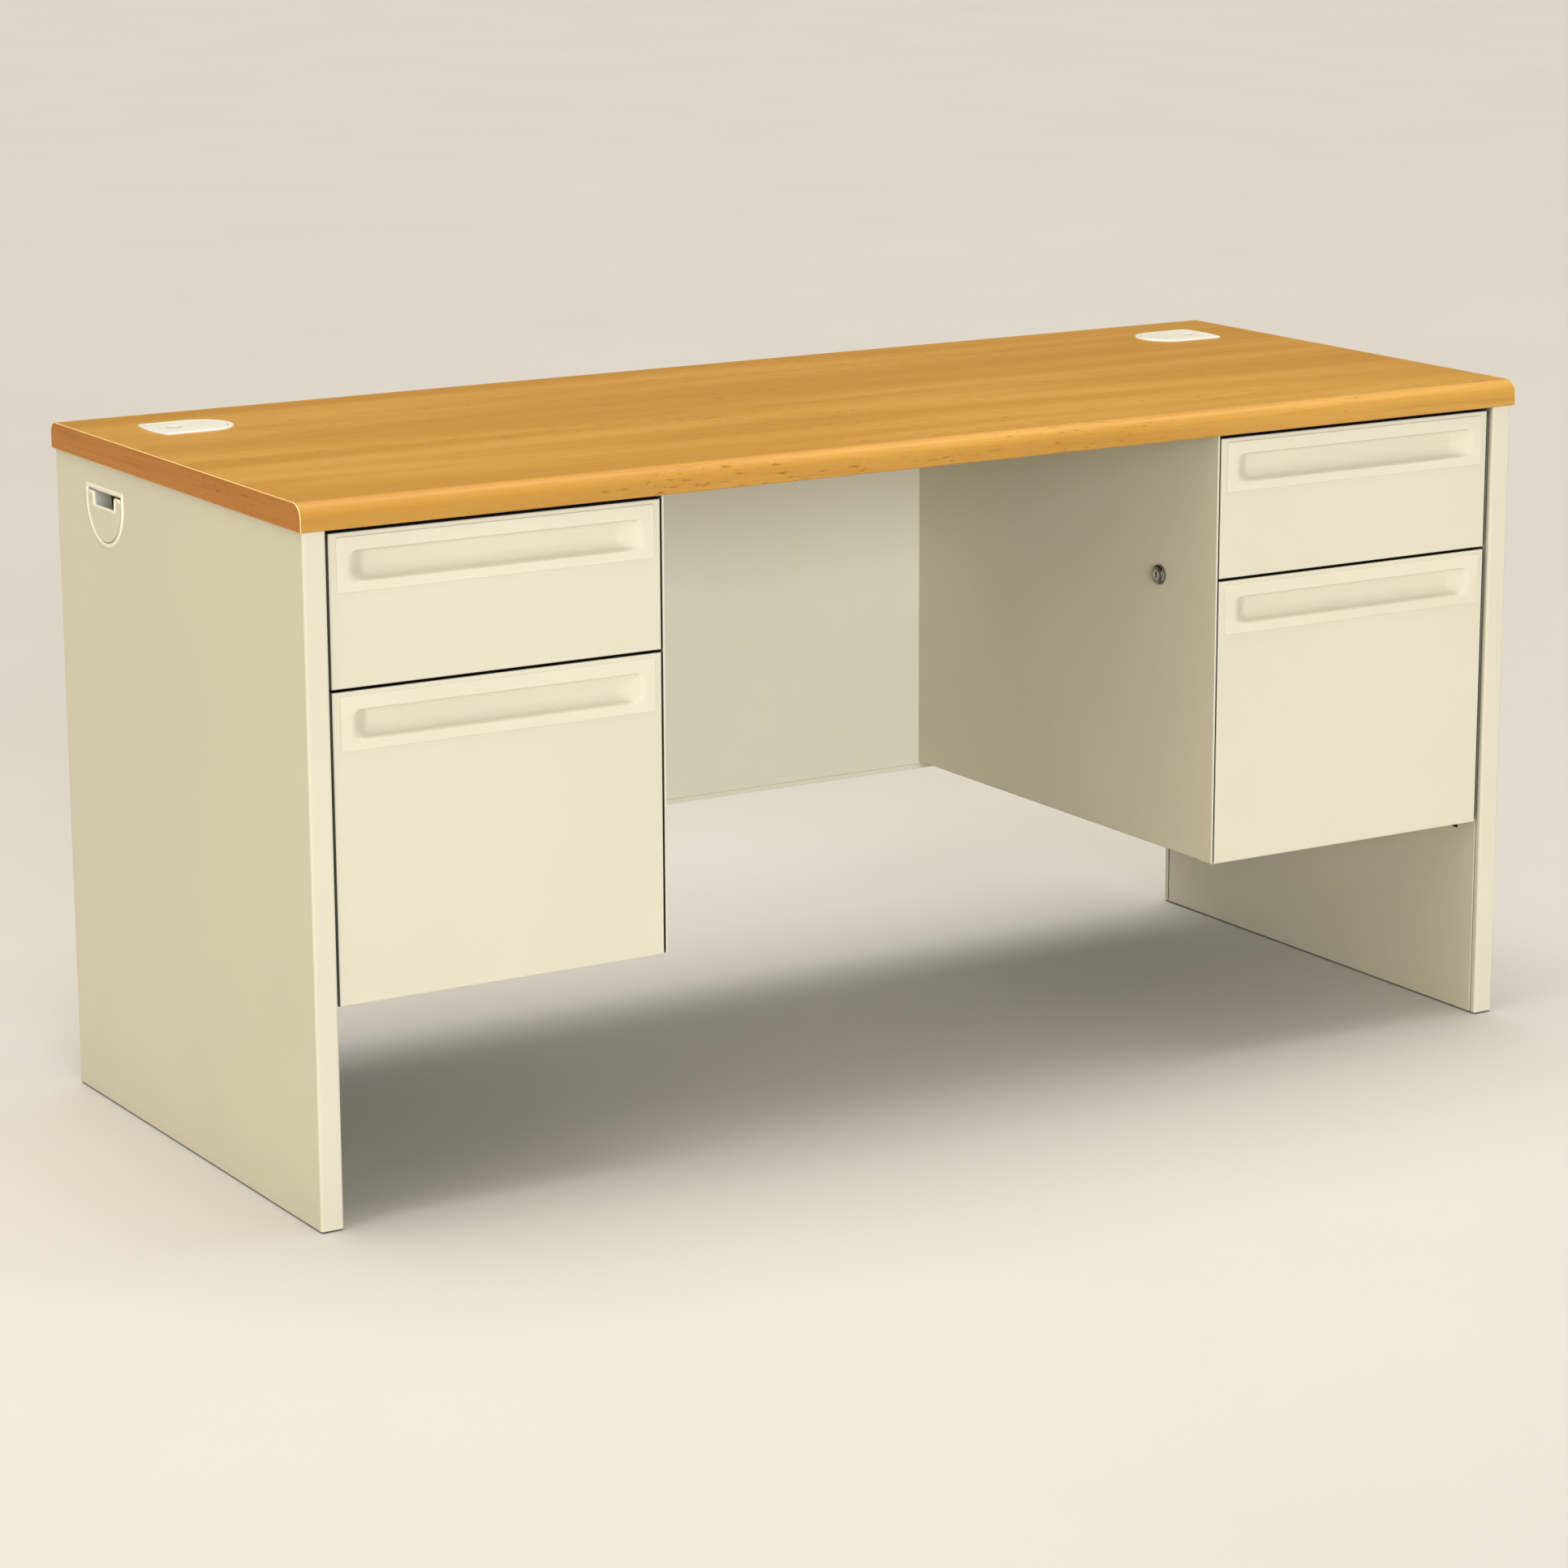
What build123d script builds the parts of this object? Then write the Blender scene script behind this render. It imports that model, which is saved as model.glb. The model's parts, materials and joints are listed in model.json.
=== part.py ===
"""Steel teacher desk with two hanging pedestals, one box drawer and one file drawer in each.

Frame: millimetres, origin on the floor under the middle of the worktop, +Z up.
The drawers face -Y, and +X is on the right of a person who looks at the drawer fronts.
Every left-hand piece is the mirror image of its right-hand twin.
"""
import os

from build123d import *

# ------------------------------------------------------------------ driving dimensions
WIDTH = 1524.0
DEPTH = 622.3
HEIGHT = 746.0

TOP_THICKNESS = 28.6
LAMINATE = 0.8
BACKER = 0.6
SIDE_BAND = 1.0
TOP_FRONT_ROUND = 16.0
TOP_REAR_ROUND = 12.0
TOP_BOTTOM_ROUND = 2.0

SIDE_OVERHANG = 3.5
FRONT_OVERHANG = 3.5
REAR_OVERHANG = 2.0
PANEL_THICKNESS = 25.4
PANEL_SKIN = 1.0
PANEL_BEND = 3.0
PANEL_RETURN = 7.4
PANEL_SEAM = 1.5
FLOOR_GAP = 2.0

PED_INNER = 350.0
PED_GAUGE = 1.2
PED_BOTTOM = 232.9
PED_DEPTH = 420.0
PED_HEM = 12.0
PED_FLANGE = 13.0

DRAWER_SETBACK = 5.0
DRAWER_WIDTH = 374.0
DRAWER_GAP = 3.1
BOX_FRONT_HEIGHT = 156.7
FILE_FRONT_HEIGHT = 321.2
FRONT_PAN_DEPTH = 19.0
FRONT_GAUGE = 1.0
TOP_CLEARANCE = 4.4

TRAY_GAUGE = 1.0
TRAY_LENGTH = 380.0
TRAY_RIM = 8.0
BOX_TRAY_HEIGHT = 95.0
BOX_TRAY_LIFT = 9.7
FILE_TRAY_HEIGHT = 265.0
FILE_TRAY_LIFT = 18.0
HANG_RAIL_SPACING = 312.0

SLIDE_THICKNESS = 12.7
SLIDE_CLEARANCE = 0.4
SLIDE_LENGTH = 378.0
SLIDE_GAUGE = 1.4
BOX_SLIDE_HEIGHT = 36.0
BOX_SLIDE_BOTTOM = 612.0
FILE_SLIDE_HEIGHT = 45.0
FILE_SLIDE_BOTTOM = 430.0

PULL_WIDTH = 358.0
PULL_HEIGHT = 56.0
PULL_DROP = 4.7
PULL_PROUD = 1.5
PULL_MOUTH_WIDTH = 336.0
PULL_MOUTH_HEIGHT = 30.5
PULL_TOP_BORDER = 14.3
PULL_DEPTH = 16.5
PULL_WALL = 1.8

MODESTY_FRONT = 297.9
MODESTY_BOTTOM = 229.5
MODESTY_GAUGE = 1.0
MODESTY_SHELF = 8.0
MODESTY_DROP = 7.5

LOCK_Y = -197.4
LOCK_Z = 545.6
LOCK_BEZEL_RADIUS = 11.4
LOCK_BEZEL_PROUD = 5.0
LOCK_BODY_RADIUS = 9.5
PLUG_RADIUS = 6.5
RUNNING_CLEARANCE = 0.05
CAM_THROW = 18.0
CAM_PIN_RADIUS = 2.0
LOCK_TRAVEL = 25.5

TOP_GROMMET_OUTBOARD = 699.0
TOP_GROMMET_LENGTH = 97.0
TOP_GROMMET_WIDTH = 77.5
TOP_GROMMET_Y = 195.5
TOP_GROMMET_BOW = 5.0
TOP_GROMMET_PROUD = 1.2

END_GROMMET_Y = 177.8
END_GROMMET_WIDTH = 97.5
END_GROMMET_TOP = 692.3
END_GROMMET_HEIGHT = 64.6
END_GROMMET_RING = 5.4
END_GROMMET_PROUD = 1.4

GLIDE_Y = 262.0
GLIDE_RADIUS = 11.0
GLIDE_PAD = 7.0
GLIDE_STEM_RADIUS = 4.0

# ------------------------------------------------------------------ derived places
TOP_UNDER = HEIGHT - TOP_THICKNESS
DESK_FRONT = -DEPTH / 2
DESK_REAR = DEPTH / 2
PANEL_OUTER = WIDTH / 2 - SIDE_OVERHANG
PANEL_INNER = PANEL_OUTER - PANEL_THICKNESS
PANEL_FRONT = DESK_FRONT + FRONT_OVERHANG
PANEL_REAR = DESK_REAR - REAR_OVERHANG
CAVITY_INNER = PANEL_INNER + PANEL_SKIN
CAVITY_OUTER = PANEL_OUTER - PANEL_SKIN

DRAWER_FRONT = PANEL_FRONT + DRAWER_SETBACK
BAY_NEAR = PED_INNER + PED_GAUGE
BAY_FAR = PANEL_INNER - PED_GAUGE
PED_MIDDLE = (BAY_NEAR + BAY_FAR) / 2
PED_BACK = DRAWER_FRONT + PED_DEPTH
FRAME_START = DRAWER_FRONT + FRONT_PAN_DEPTH + 3.0
TRAY_HALF = (BAY_FAR - BAY_NEAR) / 2 - SLIDE_THICKNESS - SLIDE_CLEARANCE
TRAY_FRONT = DRAWER_FRONT + FRONT_PAN_DEPTH
TRAY_REAR = TRAY_FRONT + TRAY_LENGTH
TRAY_NEAR = PED_MIDDLE - TRAY_HALF

BOX_TOP = TOP_UNDER - TOP_CLEARANCE
BOX_BOTTOM = BOX_TOP - BOX_FRONT_HEIGHT
FILE_TOP = BOX_BOTTOM - DRAWER_GAP
FILE_BOTTOM = FILE_TOP - FILE_FRONT_HEIGHT
BOX_TRAY_BOTTOM = BOX_BOTTOM + BOX_TRAY_LIFT
FILE_TRAY_BOTTOM = FILE_BOTTOM + FILE_TRAY_LIFT
DRAWERS = {"box": (BOX_BOTTOM, BOX_TOP), "file": (FILE_BOTTOM, FILE_TOP)}

FOOT_WEB = GLIDE_PAD + 0.2
SIDES = ("left", "right")


# ------------------------------------------------------------------ helpers
def block(x0, x1, y0, y1, z0, z1):
    """A box between two opposite corners."""
    middle = ((x0 + x1) / 2, (y0 + y1) / 2, (z0 + z1) / 2)
    return Pos(*middle) * Box(x1 - x0, y1 - y0, z1 - z0)


def disc_x(radius, x0, x1, y, z):
    """A cylinder along X."""
    return Pos((x0 + x1) / 2, y, z) * Rot(0, 90, 0) * Cylinder(radius, x1 - x0)


def disc_z(radius, z0, z1, x, y):
    """A cylinder along Z."""
    return Pos(x, y, (z0 + z1) / 2) * Cylinder(radius, z1 - z0)


def bent_strip(points, gauge, bend, side=Side.LEFT):
    """Cross-section of a folded sheet whose outer line follows the points."""
    line = FilletPolyline(*points, radius=bend)
    return make_face(offset(line, amount=gauge, side=side).edges())


def along_x(section, x0, x1):
    """A section drawn as (y, z), swept from x0 to x1."""
    return extrude(Plane.YZ.offset(x0) * section, amount=x1 - x0)


def along_y(section, y0, y1):
    """A section drawn as (x, z), swept from y0 to y1."""
    return extrude(Plane.XZ.offset(-y1) * section, amount=y1 - y0)


def along_z(section, z0, z1):
    """A section drawn as (x, y), swept from z0 to z1."""
    return extrude(Plane.XY.offset(z0) * section, amount=z1 - z0)


def flipped(shape):
    """The same piece on the other side of the desk."""
    return mirror(shape, about=Plane.YZ)


def across_pedestal(shape):
    """The same piece on the other side of its own pedestal."""
    return mirror(shape, about=Plane.YZ.offset(PED_MIDDLE))


def sided(shape, side):
    """A right-hand piece as it stands on the named side."""
    return shape if side == "right" else flipped(shape)


def both(shape):
    """A right-hand piece and its left-hand twin."""
    return [shape, flipped(shape)]


# ------------------------------------------------------------------ outlines of the cable grommets
def top_grommet_outline(inset):
    """Plan of a worktop grommet: round inboard end, straight sides, slightly bowed outboard end."""
    half = TOP_GROMMET_WIDTH / 2
    round_x = TOP_GROMMET_OUTBOARD - TOP_GROMMET_LENGTH + half
    corner_x = TOP_GROMMET_OUTBOARD - TOP_GROMMET_BOW
    low, high = TOP_GROMMET_Y - half, TOP_GROMMET_Y + half
    edges = [
        ThreePointArc((round_x, high), (round_x - half, TOP_GROMMET_Y), (round_x, low)),
        Line((round_x, low), (corner_x, low)),
        ThreePointArc((corner_x, low), (TOP_GROMMET_OUTBOARD, TOP_GROMMET_Y), (corner_x, high)),
        Line((corner_x, high), (round_x, high)),
    ]
    outline = make_face(edges)
    if inset == 0:
        return outline
    return offset(outline, amount=-inset, kind=Kind.INTERSECTION)


def end_grommet_outline(inset):
    """Elevation of an end-panel grommet, drawn as (y, z): straight top, sides that run into a half round."""
    half = END_GROMMET_WIDTH / 2 - inset
    top = END_GROMMET_TOP - inset
    spring = END_GROMMET_TOP - END_GROMMET_HEIGHT + END_GROMMET_WIDTH / 2
    y = END_GROMMET_Y
    edges = [
        Line((y - half, top), (y + half, top)),
        Line((y + half, top), (y + half, spring)),
        ThreePointArc((y + half, spring), (y, spring - half), (y - half, spring)),
        Line((y - half, spring), (y - half, top)),
    ]
    return make_face(edges)


# ------------------------------------------------------------------ worktop
LAMINATE_TUCK = 3.0


def worktop_corners():
    """Corners of the worktop's cross-section (y, z), from the front lower one round over the top."""
    low_front, low_rear = (DESK_FRONT, TOP_UNDER), (DESK_REAR, TOP_UNDER)
    return [low_front, (DESK_FRONT, HEIGHT), (DESK_REAR, HEIGHT), low_rear]


WORKTOP_ROUNDS = [TOP_BOTTOM_ROUND, TOP_FRONT_ROUND, TOP_REAR_ROUND, TOP_BOTTOM_ROUND]


def worktop_section():
    """Full cross-section of the worktop."""
    return make_face(FilletPolyline(*worktop_corners(), radius=WORKTOP_ROUNDS, close=True))


def laminate_section():
    """The laminate's cross-section: down the front and rear edges and tucked under both."""
    front_tuck = (DESK_FRONT + LAMINATE_TUCK, TOP_UNDER)
    rear_tuck = (DESK_REAR - LAMINATE_TUCK, TOP_UNDER)
    return bent_strip([front_tuck, *worktop_corners(), rear_tuck], LAMINATE, WORKTOP_ROUNDS, Side.RIGHT)


SLEEVE_INSET = 4.0
SLEEVE_WALL = 1.8


def screw_holes():
    """Pilot holes for the screws that come up into the worktop."""
    return [disc_z(TOP_SCREW_RADIUS, TOP_UNDER - 1, TOP_SCREW_TIP, x, y) for x, y in top_screw_places()]


def worktop():
    """Board, wrapped laminate, balancing backer and the two side bands."""
    end = WIDTH / 2 - SIDE_BAND
    laminate = along_x(laminate_section(), -end, end)
    slab = block(
        -end, end, DESK_FRONT + LAMINATE_TUCK, DESK_REAR - LAMINATE_TUCK, TOP_UNDER, TOP_UNDER + BACKER
    )
    core = along_x(worktop_section(), -end, end) - laminate - slab
    sleeve_hole = along_z(top_grommet_outline(SLEEVE_INSET), TOP_UNDER - 1, HEIGHT + 1)
    flange_hole = along_z(top_grommet_outline(0), HEIGHT - LAMINATE, HEIGHT + 1)
    for hole in both(sleeve_hole):
        slab -= hole
        core -= hole
    for hole in both(flange_hole):
        laminate -= hole
    for hole in screw_holes():
        slab -= hole
        core -= hole
    band = along_x(worktop_section(), end, WIDTH / 2)
    return {
        "worktop_core": core,
        "worktop_laminate": laminate,
        "worktop_backer": slab,
        "worktop_side_bands": both(band),
    }


TOP_SCREW_RADIUS = 2.1
TOP_SCREW_TIP = TOP_UNDER + 18.0
TOP_SCREW_HEAD = 4.2
TOP_SCREW_ROWS = (-210.0, 230.0)
FLANGE_SCREW_X = PED_INNER + 7.5
PANEL_SCREW_X = (CAVITY_INNER + CAVITY_OUTER) / 2


def top_screw_places():
    """Every upright screw: along the pedestal flanges and the end panels' top channels."""
    columns = (FLANGE_SCREW_X, PANEL_SCREW_X)
    return [(sign * x, y) for x in columns for y in TOP_SCREW_ROWS for sign in (-1, 1)]


# ------------------------------------------------------------------ end panels
CORNER_EASE = 1.6
INNER_FLANGE = 12.0
LINER_WALL = 1.8
SLOT_LENGTH = 11.0
SLOT_HEIGHT = 16.0


def end_outer_skin():
    """Outer skin, wrapped round the front and rear edges and returned onto the inner face."""
    path = [
        (PANEL_INNER, PANEL_FRONT + PANEL_RETURN),
        (PANEL_INNER, PANEL_FRONT),
        (PANEL_OUTER, PANEL_FRONT),
        (PANEL_OUTER, PANEL_REAR),
        (PANEL_INNER, PANEL_REAR),
        (PANEL_INNER, PANEL_REAR - PANEL_RETURN),
    ]
    skin = along_z(bent_strip(path, PANEL_SKIN, PANEL_BEND), FLOOR_GAP, TOP_UNDER)
    hole = along_x(end_grommet_outline(END_GROMMET_RING - LINER_WALL), CAVITY_OUTER - 1, PANEL_OUTER + 1)
    return skin - hole


def end_inner_skin():
    """Inner skin, with a flange folded into the panel at its front and rear edge."""
    front = PANEL_FRONT + PANEL_RETURN + PANEL_SEAM
    rear = PANEL_REAR - PANEL_RETURN - PANEL_SEAM
    flange = PANEL_INNER + INNER_FLANGE
    path = [(flange, front), (PANEL_INNER, front), (PANEL_INNER, rear), (flange, rear)]
    skin = along_z(bent_strip(path, PANEL_SKIN, CORNER_EASE, Side.RIGHT), FLOOR_GAP, TOP_UNDER)
    skin -= along_x(end_grommet_outline(END_GROMMET_RING - LINER_WALL), PANEL_INNER - 1, CAVITY_INNER + 1)
    for y in (-261.5, -235.6):
        low = PED_BOTTOM - SLOT_HEIGHT
        skin -= block(PANEL_INNER - 1, CAVITY_INNER + 1, y - SLOT_LENGTH / 2, y + SLOT_LENGTH / 2, low, PED_BOTTOM)
    return skin


FOOT_CHANNEL_WEB = 2.0
CHANNEL_FLANGE = 26.0


def panel_channel(web_bottom, up):
    """A channel between the two skins, its web level and its flanges against them."""
    front = PANEL_FRONT + PANEL_RETURN + 6.0
    rear = PANEL_REAR - PANEL_RETURN - 6.0
    web_top = web_bottom + FOOT_CHANNEL_WEB
    z0, z1 = (web_bottom, web_bottom + CHANNEL_FLANGE) if up else (web_top - CHANNEL_FLANGE, web_top)
    channel = block(CAVITY_INNER, CAVITY_OUTER, front, rear, z0, z1)
    hollow_z = (web_top, z1 + 1) if up else (z0 - 1, web_bottom)
    wall = FOOT_CHANNEL_WEB
    return channel - block(CAVITY_INNER + wall, CAVITY_OUTER - wall, front - 1, rear + 1, *hollow_z)


def foot_channel():
    """Bottom channel of an end panel, drilled for the two levelling glides."""
    channel = panel_channel(FOOT_WEB, up=True)
    for y in (-GLIDE_Y, GLIDE_Y):
        channel -= disc_z(GLIDE_STEM_RADIUS + 0.3, FOOT_WEB - 1, FOOT_WEB + 4, PANEL_SCREW_X, y)
    return channel


def top_channel():
    """Top channel of an end panel, under the worktop and drilled for its screws."""
    channel = panel_channel(TOP_UNDER - FOOT_CHANNEL_WEB, up=False)
    for y in TOP_SCREW_ROWS:
        channel -= disc_z(TOP_SCREW_RADIUS, TOP_UNDER - 4, TOP_UNDER + 1, PANEL_SCREW_X, y)
    return channel


# ------------------------------------------------------------------ levelling glides
GLIDE_NUT_ACROSS_FLATS = 13.0
GLIDE_NUT_HEIGHT = 6.5
GLIDE_STEM_TOP = 44.0


def glide(side, y):
    """Round pad on a threaded stem."""
    pad = disc_z(GLIDE_RADIUS, 0, GLIDE_PAD, PANEL_SCREW_X, y)
    pad = chamfer(pad.edges().group_by(Axis.Z)[0], 1.0)
    stem = disc_z(GLIDE_STEM_RADIUS, GLIDE_PAD, GLIDE_STEM_TOP, PANEL_SCREW_X, y)
    return sided(pad + stem, side)


def glide_nuts():
    """Weld nuts on the foot channels."""
    nuts = []
    for y in (-GLIDE_Y, GLIDE_Y):
        hexagon = RegularPolygon(GLIDE_NUT_ACROSS_FLATS / 2, 6, major_radius=False)
        bottom = FOOT_WEB + FOOT_CHANNEL_WEB
        nut = Pos(PANEL_SCREW_X, y, bottom) * extrude(hexagon, amount=GLIDE_NUT_HEIGHT)
        nut -= disc_z(GLIDE_STEM_RADIUS + 0.15, bottom - 1, bottom + GLIDE_NUT_HEIGHT + 1, PANEL_SCREW_X, y)
        nuts += both(nut)
    return nuts


# ------------------------------------------------------------------ modesty panel
def modesty_panel():
    """Full-width sheet behind both pedestals, stepped back along its lower edge."""
    y = MODESTY_FRONT
    shelf = y + MODESTY_SHELF
    top_return = y + 10.0
    path = [
        (top_return, TOP_UNDER),
        (y, TOP_UNDER),
        (y, MODESTY_BOTTOM),
        (shelf, MODESTY_BOTTOM),
        (shelf, MODESTY_BOTTOM - MODESTY_DROP),
    ]
    sheet = along_x(bent_strip(path, MODESTY_GAUGE, 1.6), -PANEL_INNER, PANEL_INNER)
    flange = block(PANEL_INNER - MODESTY_GAUGE, PANEL_INNER, y + 0.5, top_return, MODESTY_BOTTOM + 2, TOP_UNDER - 2)
    for tab in both(flange):
        sheet += tab
    for x, z in modesty_screw_places():
        hole = disc_x(SHEET_SCREW_RADIUS, x - 3, x + 3, y + 6.0, z)
        sheet -= hole
    return sheet


SHEET_SCREW_RADIUS = 1.8
SHEET_SCREW_HEAD = 3.4


def modesty_screw_places():
    """Where the modesty panel's side flanges are screwed to the end panels."""
    return [(sign * PANEL_INNER, z) for z in (300.0, 600.0) for sign in (-1, 1)]


# ------------------------------------------------------------------ pedestals
def ped_inner_side():
    """Kneespace side of a pedestal: hemmed front edge, flanges at the top, bottom and rear."""
    flange_x = PED_INNER + PED_FLANGE
    path = [
        (flange_x, PED_BOTTOM),
        (PED_INNER, PED_BOTTOM),
        (PED_INNER, TOP_UNDER),
        (flange_x, TOP_UNDER),
    ]
    side = along_y(bent_strip(path, PED_GAUGE, CORNER_EASE, Side.RIGHT), FRAME_START, MODESTY_FRONT)
    hem_inside = PED_INNER + 2 * PED_GAUGE
    plate = block(PED_INNER, BAY_NEAR, DRAWER_FRONT, FRAME_START + 1, PED_BOTTOM, TOP_UNDER)
    hem = block(PED_INNER, hem_inside, DRAWER_FRONT, DRAWER_FRONT + PED_HEM, PED_BOTTOM, TOP_UNDER)
    hem = fillet(hem.edges().filter_by(Axis.Z).group_by(Axis.Y)[0], 0.9)
    plate -= block(PED_INNER - 1, hem_inside, DRAWER_FRONT - 1, DRAWER_FRONT + 2, PED_BOTTOM - 1, TOP_UNDER + 1)
    rear_z = (PED_BOTTOM + 2, TOP_UNDER - 2)
    rear = block(PED_INNER, flange_x, MODESTY_FRONT - PED_GAUGE, MODESTY_FRONT, *rear_z)
    side = side + plate + hem + rear
    side -= disc_x(LOCK_BODY_RADIUS + 0.1, PED_INNER - 1, BAY_NEAR + 1, LOCK_Y, LOCK_Z)
    for y in TOP_SCREW_ROWS:
        side -= disc_z(TOP_SCREW_RADIUS, TOP_UNDER - 3, TOP_UNDER + 1, FLANGE_SCREW_X, y)
    return side


OUTER_SIDE_START = -268.0
BEND_INSIDE = 0.5


def ped_outer_side():
    """End-panel side of a pedestal, against the end panel's inner skin."""
    flange_x = PANEL_INNER - PED_FLANGE
    path = [
        (flange_x, PED_BOTTOM),
        (PANEL_INNER, PED_BOTTOM),
        (PANEL_INNER, TOP_UNDER),
        (flange_x, TOP_UNDER),
    ]
    side = along_y(bent_strip(path, PED_GAUGE, CORNER_EASE), OUTER_SIDE_START, PED_BACK)
    for y, z in ped_screw_places():
        side -= disc_x(SHEET_SCREW_RADIUS, BAY_FAR - 1, PANEL_INNER + 1, y, z)
    return side


def ped_screw_places():
    """Where a pedestal's outer side is screwed to the end panel."""
    return [(y, z) for y in (-225.0, 75.0) for z in (280.0, 690.0)]


def ped_back():
    """Back of a pedestal; cables run down behind it from the grommets."""
    inset = PED_GAUGE + BEND_INSIDE
    return block(BAY_NEAR, BAY_FAR, PED_BACK - PED_GAUGE, PED_BACK, PED_BOTTOM + inset, TOP_UNDER - inset)


RAIL_DEPTH = 30.0
RAIL_HEIGHT = 12.0


def ped_cross_rails():
    """Front rails that tie a pedestal's two sides together, top and bottom."""
    y0 = OUTER_SIDE_START
    y1 = y0 + RAIL_DEPTH
    rails = []
    inset = PED_GAUGE + BEND_INSIDE
    for z0, opens_up in ((PED_BOTTOM + inset, True), (TOP_UNDER - inset - RAIL_HEIGHT, False)):
        z1 = z0 + RAIL_HEIGHT
        rail = block(BAY_NEAR, BAY_FAR, y0, y1, z0, z1)
        hollow = (z0 + PED_GAUGE, z1 + 1) if opens_up else (z0 - 1, z1 - PED_GAUGE)
        rails.append(rail - block(BAY_NEAR - 1, BAY_FAR + 1, y0 + PED_GAUGE, y1 - PED_GAUGE, *hollow))
    return rails


# ------------------------------------------------------------------ drawer slides
SLIDE_START = TRAY_FRONT + 1.0
SLIDE_END = SLIDE_START + SLIDE_LENGTH
LIP_REACH = 10.0
NEST_STEP = 4.0


def slide_member(back_x, lip_x, bottom, top):
    """A C-shaped slide member: a back plate with a lip along its top and bottom."""
    back_edge = back_x + SLIDE_GAUGE if lip_x > back_x else back_x - SLIDE_GAUGE
    back = block(min(back_x, back_edge), max(back_x, back_edge), SLIDE_START, SLIDE_END, bottom, top)
    lips = (min(back_x, lip_x), max(back_x, lip_x), SLIDE_START, SLIDE_END)
    member = back + block(*lips, bottom, bottom + SLIDE_GAUGE) + block(*lips, top - SLIDE_GAUGE, top)
    return member


def cabinet_members():
    """The four slide members screwed to one pedestal's sides."""
    members = []
    for bottom, height in ((BOX_SLIDE_BOTTOM, BOX_SLIDE_HEIGHT), (FILE_SLIDE_BOTTOM, FILE_SLIDE_HEIGHT)):
        member = slide_member(BAY_NEAR, BAY_NEAR + LIP_REACH, bottom, bottom + height)
        members += [member, across_pedestal(member)]
    return members


def intermediate_members():
    """The floating members of a file drawer's full-extension slides."""
    back = BAY_NEAR + 2.8
    bottom = FILE_SLIDE_BOTTOM + NEST_STEP
    top = FILE_SLIDE_BOTTOM + FILE_SLIDE_HEIGHT - NEST_STEP
    member = slide_member(back, BAY_NEAR + LIP_REACH, bottom, top)
    return [member, across_pedestal(member)]


def drawer_members(kind):
    """The slide members fixed to a drawer's tray."""
    if kind == "box":
        bottom, height, step, lip = BOX_SLIDE_BOTTOM, BOX_SLIDE_HEIGHT, NEST_STEP, BAY_NEAR + 3.6
    else:
        bottom, height, step, lip = FILE_SLIDE_BOTTOM, FILE_SLIDE_HEIGHT, 2 * NEST_STEP + 0.5, BAY_NEAR + 5.6
    member = slide_member(TRAY_NEAR, lip, bottom + step, bottom + height - step)
    return [member, across_pedestal(member)]


# ------------------------------------------------------------------ drawers
CATCH_HEIGHT = 12.0
CATCH_GAUGE = 1.5
CATCH_FOOT = 12.0
CATCH_FACE = -169.8
CATCH_TIP = BAY_NEAR + 6.8
BOX_CATCH_BOTTOM = 571.0
FILE_CATCH_BOTTOM = 499.0


def drawer_tray(bottom, height, catch_bottom):
    """Folded tray with rolled rims, and the angle welded to its kneespace side that the lock bar catches."""
    near, far = PED_MIDDLE - TRAY_HALF, PED_MIDDLE + TRAY_HALF
    top = bottom + height
    path = [
        (near + TRAY_RIM, top),
        (near, top),
        (near, bottom),
        (far, bottom),
        (far, top),
        (far - TRAY_RIM, top),
    ]
    tray = along_y(bent_strip(path, TRAY_GAUGE, CORNER_EASE), TRAY_FRONT, TRAY_REAR)
    inner = (near + TRAY_GAUGE / 2, far - TRAY_GAUGE / 2)
    wall_z = (bottom + TRAY_GAUGE / 2, top - TRAY_GAUGE / 2)
    tray += block(*inner, TRAY_FRONT, TRAY_FRONT + TRAY_GAUGE, *wall_z)
    tray += block(*inner, TRAY_REAR - TRAY_GAUGE, TRAY_REAR, *wall_z)
    catch_z = (catch_bottom, catch_bottom + CATCH_HEIGHT)
    catch = block(CATCH_TIP, near, CATCH_FACE, CATCH_FACE + CATCH_GAUGE, *catch_z)
    catch += block(near - CATCH_GAUGE, near, CATCH_FACE, CATCH_FACE + CATCH_FOOT, *catch_z)
    return [tray, catch]


PULL_BODY_BORDER = 6.0
PULL_BODY_CLEARANCE = 0.6
FRONT_EDGE_ROUND = 1.8


def pull_frame(top):
    """Lowest and highest corner of a pull's flange, as (x, z) pairs."""
    flange_top = top - PULL_DROP
    x0 = PED_MIDDLE - PULL_WIDTH / 2
    return (x0, flange_top - PULL_HEIGHT), (x0 + PULL_WIDTH, flange_top)


def drawer_front(bottom, top):
    """Pressed steel pan with a rounded face, open behind, with the pull's opening cut in it."""
    x0, x1 = PED_MIDDLE - DRAWER_WIDTH / 2, PED_MIDDLE + DRAWER_WIDTH / 2
    pan = block(x0, x1, DRAWER_FRONT, TRAY_FRONT, bottom, top)
    pan = fillet(pan.edges().group_by(Axis.Y)[0], FRONT_EDGE_ROUND)
    gauge = FRONT_GAUGE
    pan -= block(x0 + gauge, x1 - gauge, DRAWER_FRONT + gauge, TRAY_FRONT + 1, bottom + gauge, top - gauge)
    (px0, pz0), (px1, pz1) = pull_frame(top)
    cut = PULL_BODY_BORDER - PULL_BODY_CLEARANCE
    pan -= block(px0 + cut, px1 - cut, DRAWER_FRONT - 1, DRAWER_FRONT + 3, pz0 + cut, pz1 - cut)
    return pan


HOOK_LIP = 3.4
HOOK_RISE = 7.0
SCOOP_FLOOR = 12.0
MOUTH_TAPER = 16.0


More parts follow.
